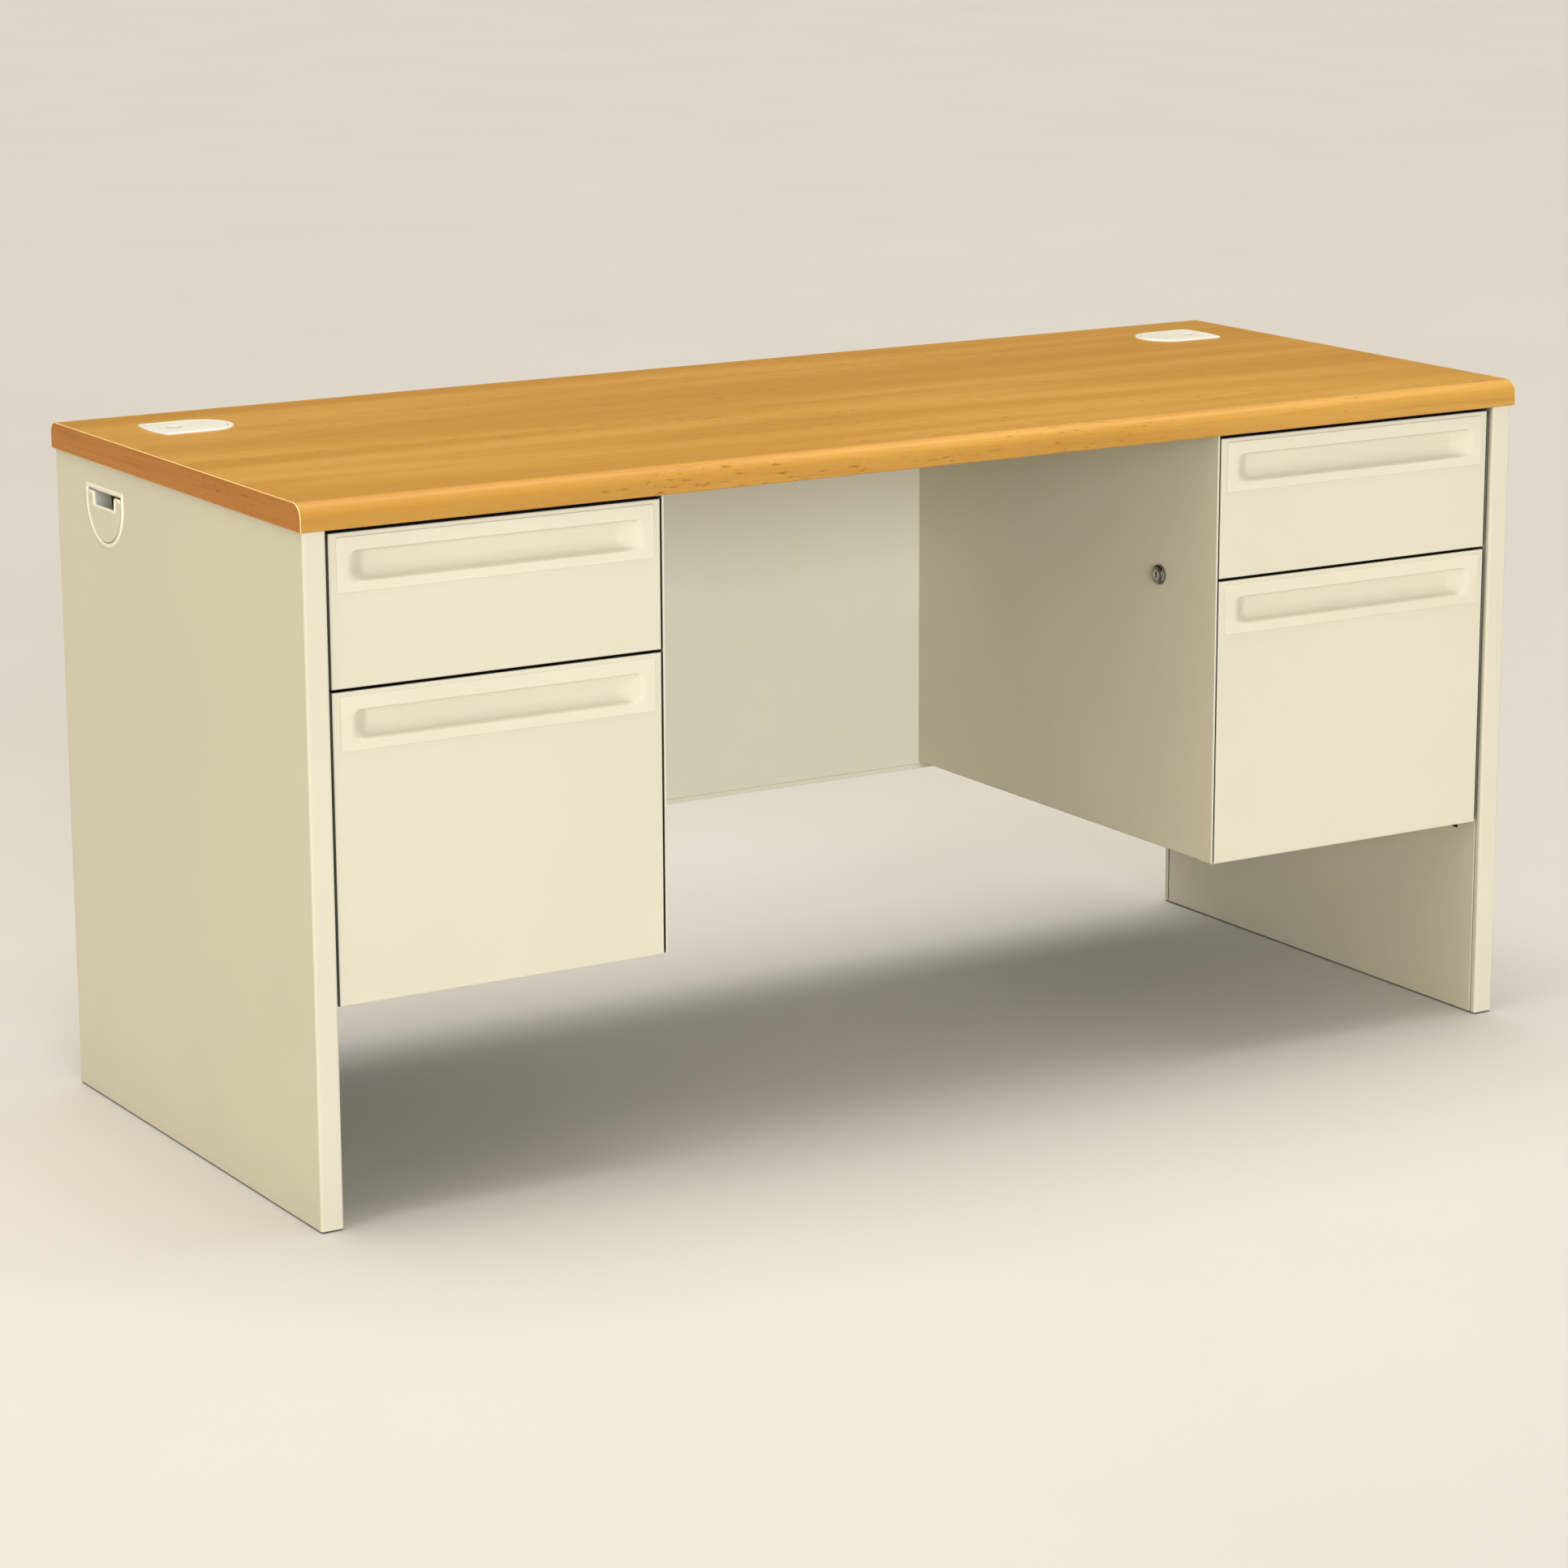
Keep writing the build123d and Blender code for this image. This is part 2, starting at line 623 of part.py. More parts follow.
def pull_cavity(top):
    """Finger space: hooked up behind the top lip, then a concave scoop out to the lower edge."""
    (px0, _), (px1, pz1) = pull_frame(top)
    face = DRAWER_FRONT - PULL_PROUD
    lip_z = pz1 - PULL_TOP_BORDER
    mouth_z = lip_z - PULL_MOUTH_HEIGHT
    back = face + PULL_DEPTH - PULL_WALL
    hook = lip_z + HOOK_RISE
    turn_z = mouth_z + SCOOP_FLOOR
    scoop_mid = (back - 5.4, mouth_z + 3.4)
    edges = [
        Line((face - 1, lip_z), (face + HOOK_LIP, lip_z)),
        Line((face + HOOK_LIP, lip_z), (face + HOOK_LIP, hook - 2)),
        ThreePointArc((face + HOOK_LIP, hook - 2), (face + HOOK_LIP + 4.2, hook), (back, hook - 4)),
        Line((back, hook - 4), (back, turn_z)),
        ThreePointArc((back, turn_z), scoop_mid, (face, mouth_z)),
        Line((face, mouth_z), (face - 1, mouth_z)),
        Line((face - 1, mouth_z), (face - 1, lip_z)),
    ]
    scoop = along_x(make_face(edges), px0, px1)
    mid = PED_MIDDLE
    half = PULL_MOUTH_WIDTH / 2
    plan = make_face(
        Polyline(
            (mid - half, face - 1),
            (mid + half, face - 1),
            (mid + half, face + 0.6),
            (mid + half - MOUTH_TAPER, back + 1),
            (mid - half + MOUTH_TAPER, back + 1),
            (mid - half, face + 0.6),
            close=True,
        )
    )
    return scoop & along_z(plan, mouth_z - 1, hook + 1)


def drawer_pull(top):
    """Moulded recessed pull: a flange on the drawer front and a cup behind it."""
    (px0, pz0), (px1, pz1) = pull_frame(top)
    face = DRAWER_FRONT - PULL_PROUD
    flange = block(px0, px1, face, DRAWER_FRONT, pz0, pz1)
    flange = fillet(flange.edges().filter_by(Axis.Y), 2.5)
    flange = fillet(flange.faces().sort_by(Axis.Y)[0].edges(), 1.0)
    border = PULL_BODY_BORDER
    cup = block(px0 + border, px1 - border, DRAWER_FRONT - 0.5, face + PULL_DEPTH, pz0 + border, pz1 - border)
    return flange + cup - pull_cavity(top)


RAIL_LIP = 12.0
RAIL_GAUGE = 2.0


def file_hang_rails():
    """Two rails for hanging folders, each on a leg from the side of the file tray."""
    top = FILE_TRAY_BOTTOM + FILE_TRAY_HEIGHT - 6.0
    rails = []
    wall = TRAY_NEAR + TRAY_GAUGE
    rail_x = PED_MIDDLE - HANG_RAIL_SPACING / 2
    y0, y1 = TRAY_FRONT + 4.0, TRAY_REAR - 4.0
    foot = block(wall, wall + RAIL_GAUGE, y0, y1, top - 40, top - RAIL_LIP)
    shelf = block(wall, rail_x, y0, y1, top - RAIL_LIP - RAIL_GAUGE, top - RAIL_LIP)
    lip = block(rail_x - RAIL_GAUGE, rail_x, y0, y1, top - RAIL_LIP - RAIL_GAUGE, top)
    rail = foot + shelf + lip
    rails += [rail, across_pedestal(rail)]
    return rails


# ------------------------------------------------------------------ lock
BARREL_END = BAY_NEAR + 5.3
CAM_NEAR = BAY_NEAR + 5.8
CAM_FAR = CAM_NEAR + 2.0
PLUG_STEM_RADIUS = 4.0
KEYWAY_WIDTH = 1.6
KEYWAY_HEIGHT = 8.4
BAR_NEAR = BAY_NEAR + 2.0
BAR_FAR = BAR_NEAR + 1.6
BAR_FRONT = -187.4
BAR_REAR = -171.0
BAR_BOTTOM = 502.0
BAR_TOP = 610.0
TAB_TIP = BAY_NEAR + 10.2
TAB_HEIGHT = 8.0
BOX_TAB_BOTTOM = 598.0
FILE_TAB_BOTTOM = 526.0
GUIDE_RADIUS = 2.4
GUIDE_Y = -179.0
GUIDE_HEIGHTS = (510.0, 577.0)
PIN_SIDE_CLEARANCE = 0.8


def lock_barrel():
    """Fixed barrel: domed bezel on the kneespace side, threaded body and nut behind the sheet."""
    bezel_face = PED_INNER - LOCK_BEZEL_PROUD
    bezel = disc_x(LOCK_BEZEL_RADIUS, bezel_face, PED_INNER, LOCK_Y, LOCK_Z)
    bezel = fillet(bezel.edges().group_by(Axis.X)[0], 3.6)
    body = disc_x(LOCK_BODY_RADIUS, PED_INNER, BARREL_END, LOCK_Y, LOCK_Z)
    bore = disc_x(PLUG_RADIUS + RUNNING_CLEARANCE, bezel_face - 1, BARREL_END + 1, LOCK_Y, LOCK_Z)
    return bezel + body - bore


def lock_plug():
    """Turning plug with a keyway in its face and a stem that carries the cam."""
    face = PED_INNER - LOCK_BEZEL_PROUD - 0.4
    plug = disc_x(PLUG_RADIUS, face, BARREL_END + 0.3, LOCK_Y, LOCK_Z)
    plug = chamfer(plug.edges().group_by(Axis.X)[0], 0.5)
    stem = disc_x(PLUG_STEM_RADIUS, BARREL_END, CAM_FAR + 0.6, LOCK_Y, LOCK_Z)
    keyway = block(
        face - 1,
        face + 3.0,
        LOCK_Y - KEYWAY_WIDTH / 2,
        LOCK_Y + KEYWAY_WIDTH / 2,
        LOCK_Z - KEYWAY_HEIGHT / 2,
        LOCK_Z + KEYWAY_HEIGHT / 2,
    )
    return plug + stem - keyway


CAM_HUB_RADIUS = 7.0
CAM_TIP_RADIUS = 3.8


def lock_cam():
    """Cam arm on the plug's stem, its pin in the lock bar's fork, up and rearward at rest."""
    reach = CAM_THROW / 2 ** 0.5
    pin_y, pin_z = LOCK_Y + reach, LOCK_Z + reach
    arm = Pos((CAM_NEAR + CAM_FAR) / 2, LOCK_Y + reach / 2, LOCK_Z + reach / 2) * Rot(45, 0, 0)
    arm *= Box(CAM_FAR - CAM_NEAR, CAM_THROW, 2 * CAM_TIP_RADIUS)
    cam = disc_x(CAM_HUB_RADIUS, CAM_NEAR, CAM_FAR, LOCK_Y, LOCK_Z) + arm
    cam += disc_x(CAM_TIP_RADIUS, CAM_NEAR, CAM_FAR, pin_y, pin_z)
    cam += disc_x(CAM_PIN_RADIUS, BAR_NEAR - 0.4, CAM_NEAR + 0.5, pin_y, pin_z)
    return cam - disc_x(PLUG_STEM_RADIUS, CAM_NEAR - 1, CAM_FAR + 1, LOCK_Y, LOCK_Z)


def rounded_slot(y, z0, z1, radius):
    """An upright slot through the lock bar, between two round ends."""
    slot = block(BAR_NEAR - 1, BAR_FAR + 1, y - radius, y + radius, z0, z1)
    slot += disc_x(radius, BAR_NEAR - 1, BAR_FAR + 1, y, z0)
    return slot + disc_x(radius, BAR_NEAR - 1, BAR_FAR + 1, y, z1)


def lock_bar():
    """Upright bar that drops when the key turns; its two tabs then stand in front of the drawers' lugs."""
    bar = block(BAR_NEAR, BAR_FAR, BAR_FRONT, BAR_REAR, BAR_BOTTOM, BAR_TOP)
    bar = fillet(bar.edges().filter_by(Axis.X), 2.0)
    for bottom in (BOX_TAB_BOTTOM, FILE_TAB_BOTTOM):
        bar += block(BAR_NEAR, TAB_TIP, BAR_REAR - 1.6, BAR_REAR, bottom, bottom + TAB_HEIGHT)
    slot_radius = GUIDE_RADIUS + 0.3
    for z in GUIDE_HEIGHTS:
        bar -= rounded_slot(GUIDE_Y, z - 0.4, z + LOCK_TRAVEL + 0.4, slot_radius)
    pin_z = LOCK_Z + CAM_THROW / 2 ** 0.5
    half = CAM_PIN_RADIUS + PIN_SIDE_CLEARANCE
    fork = block(BAR_NEAR - 1, BAR_FAR + 1, BAR_FRONT - 1, LOCK_Y + CAM_THROW + 0.4, pin_z - half, pin_z + half)
    fork += disc_x(half, BAR_NEAR - 1, BAR_FAR + 1, LOCK_Y + CAM_THROW + 0.4, pin_z)
    return bar - fork


def lock_bar_guides():
    """Headed studs on the pedestal side; the lock bar slides on them."""
    studs = []
    for z in GUIDE_HEIGHTS:
        stud = disc_x(GUIDE_RADIUS, BAY_NEAR, BAR_FAR + 0.4, GUIDE_Y, z)
        stud += disc_x(GUIDE_RADIUS + 1.6, BAR_FAR + 0.4, BAR_FAR + 1.8, GUIDE_Y, z)
        studs += both(stud)
    return studs


# ------------------------------------------------------------------ cable grommets
CAP_CLEARANCE = 0.35
CAP_THICKNESS = 3.0
CAP_LEDGE = 1.6
CABLE_HOLE_RADIUS = 8.5
CABLE_HOLE_FROM_END = 30.0
GROOVE_WIDTH = 1.6
GROOVE_DEPTH = 0.9


def top_grommet_bezel():
    """Worktop grommet: thin flange let into the laminate, sleeve through the board, ledge for the cap."""
    face = HEIGHT + TOP_GROMMET_PROUD
    flange = along_z(top_grommet_outline(0), HEIGHT - LAMINATE, face)
    flange = fillet(flange.edges().group_by(Axis.Z)[-1], 0.7)
    sleeve = along_z(top_grommet_outline(SLEEVE_INSET), TOP_UNDER - 2, HEIGHT - LAMINATE)
    mouth = along_z(top_grommet_outline(SLEEVE_INSET + SLEEVE_WALL), face - CAP_THICKNESS, face + 1)
    well_inset = SLEEVE_INSET + SLEEVE_WALL + CAP_LEDGE
    well = along_z(top_grommet_outline(well_inset), TOP_UNDER - 3, face)
    return flange + sleeve - mouth - well


def top_grommet_cap():
    """Lift-off cap with a cable hole near its outboard end and a groove along its middle."""
    face = HEIGHT + TOP_GROMMET_PROUD
    bottom = face - CAP_THICKNESS
    inset = SLEEVE_INSET + SLEEVE_WALL + CAP_CLEARANCE
    cap = along_z(top_grommet_outline(inset), bottom + 0.1, face)
    hole_x = TOP_GROMMET_OUTBOARD - CABLE_HOLE_FROM_END
    y = TOP_GROMMET_Y
    cap -= disc_z(CABLE_HOLE_RADIUS, bottom - 1, face + 1, hole_x, y)
    groove_y = (y - GROOVE_WIDTH / 2, y + GROOVE_WIDTH / 2)
    outboard = TOP_GROMMET_OUTBOARD - 12.0
    inboard = TOP_GROMMET_OUTBOARD - TOP_GROMMET_LENGTH + 14.0
    cap -= block(hole_x, outboard, *groove_y, face - GROOVE_DEPTH, face + 1)
    cap -= block(inboard, inboard + 20.0, *groove_y, face - GROOVE_DEPTH, face + 1)
    return cap


COVER_THICKNESS = 2.5
COVER_TOP_GAP = 2.4
COVER_NOTCH_WIDTH = 53.0
COVER_NOTCH_DEPTH = 14.0
LEDGE_WIDTH = 1.4


def end_grommet_bezel():
    """End-panel grommet: ring on the outer skin, liner through the panel, ledge behind the cover."""
    face = PANEL_OUTER + END_GROMMET_PROUD
    ring = along_x(end_grommet_outline(0), PANEL_OUTER, face)
    ring = fillet(ring.faces().sort_by(Axis.X)[-1].edges(), 0.8)
    liner = along_x(end_grommet_outline(END_GROMMET_RING - LINER_WALL), PANEL_INNER, PANEL_OUTER)
    mouth = along_x(end_grommet_outline(END_GROMMET_RING), face - 0.4 - COVER_THICKNESS - 0.2, face + 1)
    well = along_x(end_grommet_outline(END_GROMMET_RING + LEDGE_WIDTH), PANEL_INNER - 1, face)
    return ring + liner - mouth - well


def end_grommet_cover():
    """Snap-in cover with a cable notch in its top edge and a rounded ear on each side of it."""
    face = PANEL_OUTER + END_GROMMET_PROUD - 0.4
    plate = along_x(end_grommet_outline(END_GROMMET_RING + CAP_CLEARANCE), face - COVER_THICKNESS, face)
    top = END_GROMMET_TOP - END_GROMMET_RING - COVER_TOP_GAP
    y = END_GROMMET_Y
    half = END_GROMMET_WIDTH
    plate -= block(PANEL_INNER, PANEL_OUTER + 5, y - half, y + half, top, END_GROMMET_TOP + 1)
    notch_half = COVER_NOTCH_WIDTH / 2
    notch = block(PANEL_INNER, PANEL_OUTER + 5, y - notch_half, y + notch_half, top - COVER_NOTCH_DEPTH, top + 1)
    plate -= fillet(notch.edges().filter_by(Axis.X).group_by(Axis.Z)[0], 3.0)
    ears = plate.edges().filter_by(Axis.X).group_by(Axis.Z)[-1]
    return fillet(ears, 3.5)


# ------------------------------------------------------------------ screws
def assembly_screws():
    """Screws into the worktop, into the end panels and through the modesty panel's side flanges."""
    screws = []
    for x, y in top_screw_places():
        web = PED_GAUGE if abs(x) < PED_MIDDLE else FOOT_CHANNEL_WEB
        under = TOP_UNDER - web
        shank = disc_z(TOP_SCREW_RADIUS, under, TOP_SCREW_TIP, x, y)
        screws.append(shank + disc_z(TOP_SCREW_HEAD, under - 2.4, under, x, y))
    for y, z in ped_screw_places():
        shank = disc_x(SHEET_SCREW_RADIUS, BAY_FAR, PANEL_INNER, y, z)
        screws += both(shank + disc_x(SHEET_SCREW_HEAD, BAY_FAR - 2.0, BAY_FAR, y, z))
    inside = PANEL_INNER - MODESTY_GAUGE
    for z in (300.0, 600.0):
        y = MODESTY_FRONT + 6.0
        shank = disc_x(SHEET_SCREW_RADIUS, inside, PANEL_INNER, y, z)
        screws += both(shank + disc_x(SHEET_SCREW_HEAD, inside - 2.0, inside, y, z))
    return screws


# ------------------------------------------------------------------ assembly
def frame_pieces():
    """Everything that stays still except the worktop."""
    pieces = {
        "end_panel_foot_channels": both(foot_channel()),
        "end_panel_top_channels": both(top_channel()),
        "glide_nuts": glide_nuts(),
        "modesty_panel": modesty_panel(),
        "slide_cabinet_members": [twin for member in cabinet_members() for twin in both(member)],
        "lock_barrels": both(lock_barrel()),
        "lock_bar_guides": lock_bar_guides(),
        "top_grommet_bezels": both(top_grommet_bezel()),
        "end_grommet_bezels": both(end_grommet_bezel()),
        "assembly_screws": assembly_screws(),
    }
    for side in SIDES:
        pieces[f"{side}_end_outer_skin"] = sided(end_outer_skin(), side)
        pieces[f"{side}_end_inner_skin"] = sided(end_inner_skin(), side)
        pieces[f"{side}_ped_inner_side"] = sided(ped_inner_side(), side)
        pieces[f"{side}_ped_outer_side"] = sided(ped_outer_side(), side)
        pieces[f"{side}_ped_back"] = sided(ped_back(), side)
        pieces[f"{side}_ped_cross_rails"] = [sided(rail, side) for rail in ped_cross_rails()]
    return pieces


def drawer_pieces():
    """The four drawers and the file slides' floating members."""
    trays = {
        "box": drawer_tray(BOX_TRAY_BOTTOM, BOX_TRAY_HEIGHT, BOX_CATCH_BOTTOM),
        "file": drawer_tray(FILE_TRAY_BOTTOM, FILE_TRAY_HEIGHT, FILE_CATCH_BOTTOM),
    }
    pieces = {}
    for side in SIDES:
        for kind, (bottom, top) in DRAWERS.items():
            name = f"{side}_{kind}"
            pieces[f"{name}_tray"] = [sided(solid, side) for solid in trays[kind]]
            pieces[f"{name}_front"] = sided(drawer_front(bottom, top), side)
            pieces[f"{name}_pull"] = sided(drawer_pull(top), side)
            pieces[f"{name}_slide_members"] = [sided(member, side) for member in drawer_members(kind)]
        pieces[f"{side}_file_hang_rails"] = [sided(rail, side) for rail in file_hang_rails()]
        floating = [sided(member, side) for member in intermediate_members()]
        pieces[f"{side}_file_intermediate_members"] = floating
    return pieces


def small_moving_pieces():
    """Glides, lock works and the loose grommet parts."""
    pieces = {}
    for side in SIDES:
        pieces[f"glide_front_{side}"] = glide(side, -GLIDE_Y)
        pieces[f"glide_rear_{side}"] = glide(side, GLIDE_Y)
        pieces[f"{side}_lock_plug"] = sided(lock_plug(), side)
        pieces[f"{side}_lock_cam"] = sided(lock_cam(), side)
        pieces[f"{side}_lock_bar"] = sided(lock_bar(), side)
        pieces[f"{side}_top_grommet_cap"] = sided(top_grommet_cap(), side)
        pieces[f"{side}_end_grommet_cover"] = sided(end_grommet_cover(), side)
    return pieces


def write(name, shape):
    """One STEP file for a node, which may hold several separate solids."""
    if isinstance(shape, list):
        shape = Compound(children=[solid for piece in shape for solid in piece.solids()])
    export_step(shape, f"parts/{name}.step")


os.makedirs("parts", exist_ok=True)
for node, node_shape in {**worktop(), **frame_pieces(), **drawer_pieces(), **small_moving_pieces()}.items():
    write(node, node_shape)
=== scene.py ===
import json
import math

import bmesh
import bpy
from mathutils import Matrix, Vector


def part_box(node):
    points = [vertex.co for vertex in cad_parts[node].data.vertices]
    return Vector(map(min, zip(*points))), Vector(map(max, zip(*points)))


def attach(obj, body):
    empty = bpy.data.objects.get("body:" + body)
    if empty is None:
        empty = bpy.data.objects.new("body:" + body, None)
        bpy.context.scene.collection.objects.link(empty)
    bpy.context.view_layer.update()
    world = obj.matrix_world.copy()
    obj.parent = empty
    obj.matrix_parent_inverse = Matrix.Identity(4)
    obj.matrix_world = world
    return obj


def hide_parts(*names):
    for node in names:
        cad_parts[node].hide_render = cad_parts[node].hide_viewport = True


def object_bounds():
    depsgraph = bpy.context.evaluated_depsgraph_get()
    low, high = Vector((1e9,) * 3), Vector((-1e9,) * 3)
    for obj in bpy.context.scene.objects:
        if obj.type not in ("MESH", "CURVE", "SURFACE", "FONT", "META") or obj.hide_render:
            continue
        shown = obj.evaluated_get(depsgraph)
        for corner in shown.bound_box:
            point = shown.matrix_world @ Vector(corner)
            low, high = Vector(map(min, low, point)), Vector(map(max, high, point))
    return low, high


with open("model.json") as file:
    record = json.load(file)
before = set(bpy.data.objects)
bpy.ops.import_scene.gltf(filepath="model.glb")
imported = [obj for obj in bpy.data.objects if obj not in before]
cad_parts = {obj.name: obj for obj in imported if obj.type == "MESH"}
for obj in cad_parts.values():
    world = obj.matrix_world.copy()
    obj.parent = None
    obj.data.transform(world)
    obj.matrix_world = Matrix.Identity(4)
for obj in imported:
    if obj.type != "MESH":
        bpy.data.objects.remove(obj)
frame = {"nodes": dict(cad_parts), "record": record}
CAD_LOW, CAD_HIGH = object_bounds()

# Sizes are in metres, worked out from the frame and from a few driving sizes given in millimetres.
MM = 0.001
SIDES = {"left": -1, "right": 1}
NODES = frame["nodes"]
SLOTS = {row["node"]: row["material_slot"] for row in frame["record"]["subparts"]}
BODIES = frame["record"]["behaviour"]["bodies"]
BODY_OF = {node: body for body, members in BODIES.items() for node in members}


# ------------------------------------------------------------------ shader helpers
COAT_ROUGHNESS = 0.1
EDGE_SAMPLES = 6
ROUNDING_SAMPLES = 4
CREVICE_SAMPLES = 8
ALIKE_AT_EDGE, ALIKE_ON_FLAT = 0.86, 0.995


class Finish:
    """A material with a Principled surface, and short calls that add the nodes behind it."""

    def __init__(self, name, roughness=0.5, metallic=0.0, specular=0.5, coat=0.0):
        self.material = bpy.data.materials.new(name)
        self.material.use_nodes = True
        self.tree = self.material.node_tree
        self.tree.nodes.clear()
        self.surface = self.add("ShaderNodeBsdfPrincipled")
        output = self.add("ShaderNodeOutputMaterial")
        self.link(self.surface.outputs["BSDF"], output.inputs["Surface"])
        coordinates = self.add("ShaderNodeTexCoord")
        self.place = coordinates.outputs["Object"]
        self.direction = coordinates.outputs["Normal"]
        self.set("Roughness", roughness)
        self.set("Metallic", metallic)
        self.set("Specular IOR Level", specular)
        self.set("Coat Weight", coat)
        self.set("Coat Roughness", COAT_ROUGHNESS)

    def add(self, kind, **settings):
        """A new shader node with some of its settings."""
        node = self.tree.nodes.new(kind)
        for key, value in settings.items():
            setattr(node, key, value)
        return node

    def link(self, source, target):
        self.tree.links.new(source, target)

    def set(self, socket, value):
        """A plain number goes on the surface's own socket, and anything else is linked to it."""
        target = self.surface.inputs[socket]
        if isinstance(value, (int, float, tuple)):
            target.default_value = value
        else:
            self.link(value, target)

    def stretched(self, scale, shift=(0.0, 0.0, 0.0)):
        """The piece's own place in metres, scaled to noise cells per metre along each axis."""
        scaled = self.add("ShaderNodeMapping", vector_type="POINT")
        scaled.inputs["Scale"].default_value = scale
        scaled.inputs["Location"].default_value = shift
        self.link(self.place, scaled.inputs["Vector"])
        return scaled.outputs["Vector"]

    def noise(self, scale, detail=2.0, roughness=0.5, distortion=0.0, **place):
        """Soft noise from 0 to 1, with its cells per metre along each axis."""
        texture = self.add("ShaderNodeTexNoise")
        texture.inputs["Scale"].default_value = 1.0
        texture.inputs["Detail"].default_value = detail
        texture.inputs["Roughness"].default_value = roughness
        texture.inputs["Distortion"].default_value = distortion
        self.link(self.stretched(scale, **place), texture.inputs["Vector"])
        return texture.outputs["Fac"]

    def cells(self, scale):
        """A random grey for each cell of a broken pattern."""
        texture = self.add("ShaderNodeTexVoronoi")
        texture.inputs["Scale"].default_value = 1.0
        self.link(self.stretched(scale), texture.inputs["Vector"])
        tone = self.add("ShaderNodeRGBToBW")
        self.link(texture.outputs["Color"], tone.inputs["Color"])
        return tone.outputs["Val"]

    def band(self, value, low, high, to_low=0.0, to_high=1.0):
        """A smooth step of a value from low to high."""
        step = self.add("ShaderNodeMapRange", interpolation_type="SMOOTHSTEP")
        step.inputs["From Min"].default_value = low
        step.inputs["From Max"].default_value = high
        step.inputs["To Min"].default_value = to_low
        step.inputs["To Max"].default_value = to_high
        self.link(value, step.inputs["Value"])
        return step.outputs["Result"]

    def maths(self, operation, first, second=None):
        """One or two values put through a maths node."""
        node = self.add("ShaderNodeMath", operation=operation)
        for socket, value in zip(node.inputs, (first, second)):
            if value is None:
                continue
            if isinstance(value, (int, float)):
                socket.default_value = value
            else:
                self.link(value, socket)
        return node.outputs["Value"]

    def blend(self, share, first, second):
        """Colour first turns into colour second as share goes from 0 to 1."""
        node = self.add("ShaderNodeMix", data_type="RGBA")
        factor, a, b = node.inputs[0], node.inputs[6], node.inputs[7]
        for socket, value in ((factor, share), (a, first), (b, second)):
            if isinstance(value, (int, float)):
                socket.default_value = value
            elif isinstance(value, tuple):
                socket.default_value = (*value, 1.0)
            else:
                self.link(value, socket)
        return node.outputs[2]

    def edges(self, reach):
        """1 within about reach metres of a sharp edge and 0 on the flat."""
        rounded = self.add("ShaderNodeBevel", samples=EDGE_SAMPLES)
        rounded.inputs["Radius"].default_value = reach
        geometry = self.add("ShaderNodeNewGeometry")
        alike = self.add("ShaderNodeVectorMath", operation="DOT_PRODUCT")
        self.link(rounded.outputs["Normal"], alike.inputs[0])
        self.link(geometry.outputs["Normal"], alike.inputs[1])
        return self.band(alike.outputs["Value"], ALIKE_AT_EDGE, ALIKE_ON_FLAT, 1.0, 0.0)

    def crevices(self, reach, closed, open_at):
        """1 deep in gaps narrower than about reach metres and 0 out in the open."""
        hidden = self.add("ShaderNodeAmbientOcclusion", samples=CREVICE_SAMPLES)
        hidden.inputs["Distance"].default_value = reach
        return self.band(hidden.outputs["AO"], closed, open_at, 1.0, 0.0)

    def relief(self, height, strength, distance, edge_radius=0.0):
        """Bump from a height value, over edges softened to a small radius."""
        bump = self.add("ShaderNodeBump")
        bump.inputs["Strength"].default_value = strength
        bump.inputs["Distance"].default_value = distance
        self.link(height, bump.inputs["Height"])
        if edge_radius:
            rounded = self.add("ShaderNodeBevel", samples=ROUNDING_SAMPLES)
            rounded.inputs["Radius"].default_value = edge_radius
            self.link(rounded.outputs["Normal"], bump.inputs["Normal"])
        self.link(bump.outputs["Normal"], self.surface.inputs["Normal"])


def shade(colour, factor):
    """A colour made lighter or darker."""
    return tuple(channel * factor for channel in colour)


# ------------------------------------------------------------------ materials
def wood_grain(finish, light, middle, dark, along):
    """Straight printed grain: broad drifts, fine streaks, and small dark ticks that come in clusters."""

    def scale(lengthwise, across):
        return tuple(lengthwise if axis == along else across for axis in range(3))

    drift = finish.noise(scale(1.1, 14.0), detail=3.0, distortion=0.3)
    streaks = finish.noise(scale(5.0, 230.0), detail=4.0, roughness=0.66, distortion=0.2)
    hair = finish.noise(scale(26.0, 1100.0), detail=2.0)
    colour = finish.blend(finish.band(drift, 0.34, 0.68), middle, light)
    colour = finish.blend(finish.band(streaks, 0.46, 0.78, 0.0, 0.34), colour, dark)
    colour = finish.blend(finish.band(hair, 0.52, 0.82, 0.0, 0.26), colour, dark)
    ticks = finish.noise(scale(60.0, 330.0), detail=2.0, roughness=0.6, distortion=0.6, shift=(3.1, 7.7, 1.3))
    clusters = finish.noise(scale(2.6, 13.0), detail=2.0, roughness=0.6, shift=(11.0, 2.0, 5.0))
    marks = finish.maths("MULTIPLY", finish.band(ticks, 0.60, 0.70), finish.band(clusters, 0.48, 0.62))
    colour = finish.blend(finish.maths("MULTIPLY", marks, 0.6), colour, shade(dark, 0.55))
    return colour, streaks, hair


OAK_LIGHT = (0.565, 0.300, 0.060)
OAK_MIDDLE = (0.480, 0.236, 0.040)
OAK_DARK = (0.310, 0.118, 0.015)
BAND_TINT = (0.84, 0.59, 0.28)
PAINTED_ARRIS_HIGHLIGHT = (0.92, 0.62, 0.27)


def tinted(colour, tint):
    """A colour multiplied by another, channel by channel."""
    return tuple(channel * share for channel, share in zip(colour, tint))


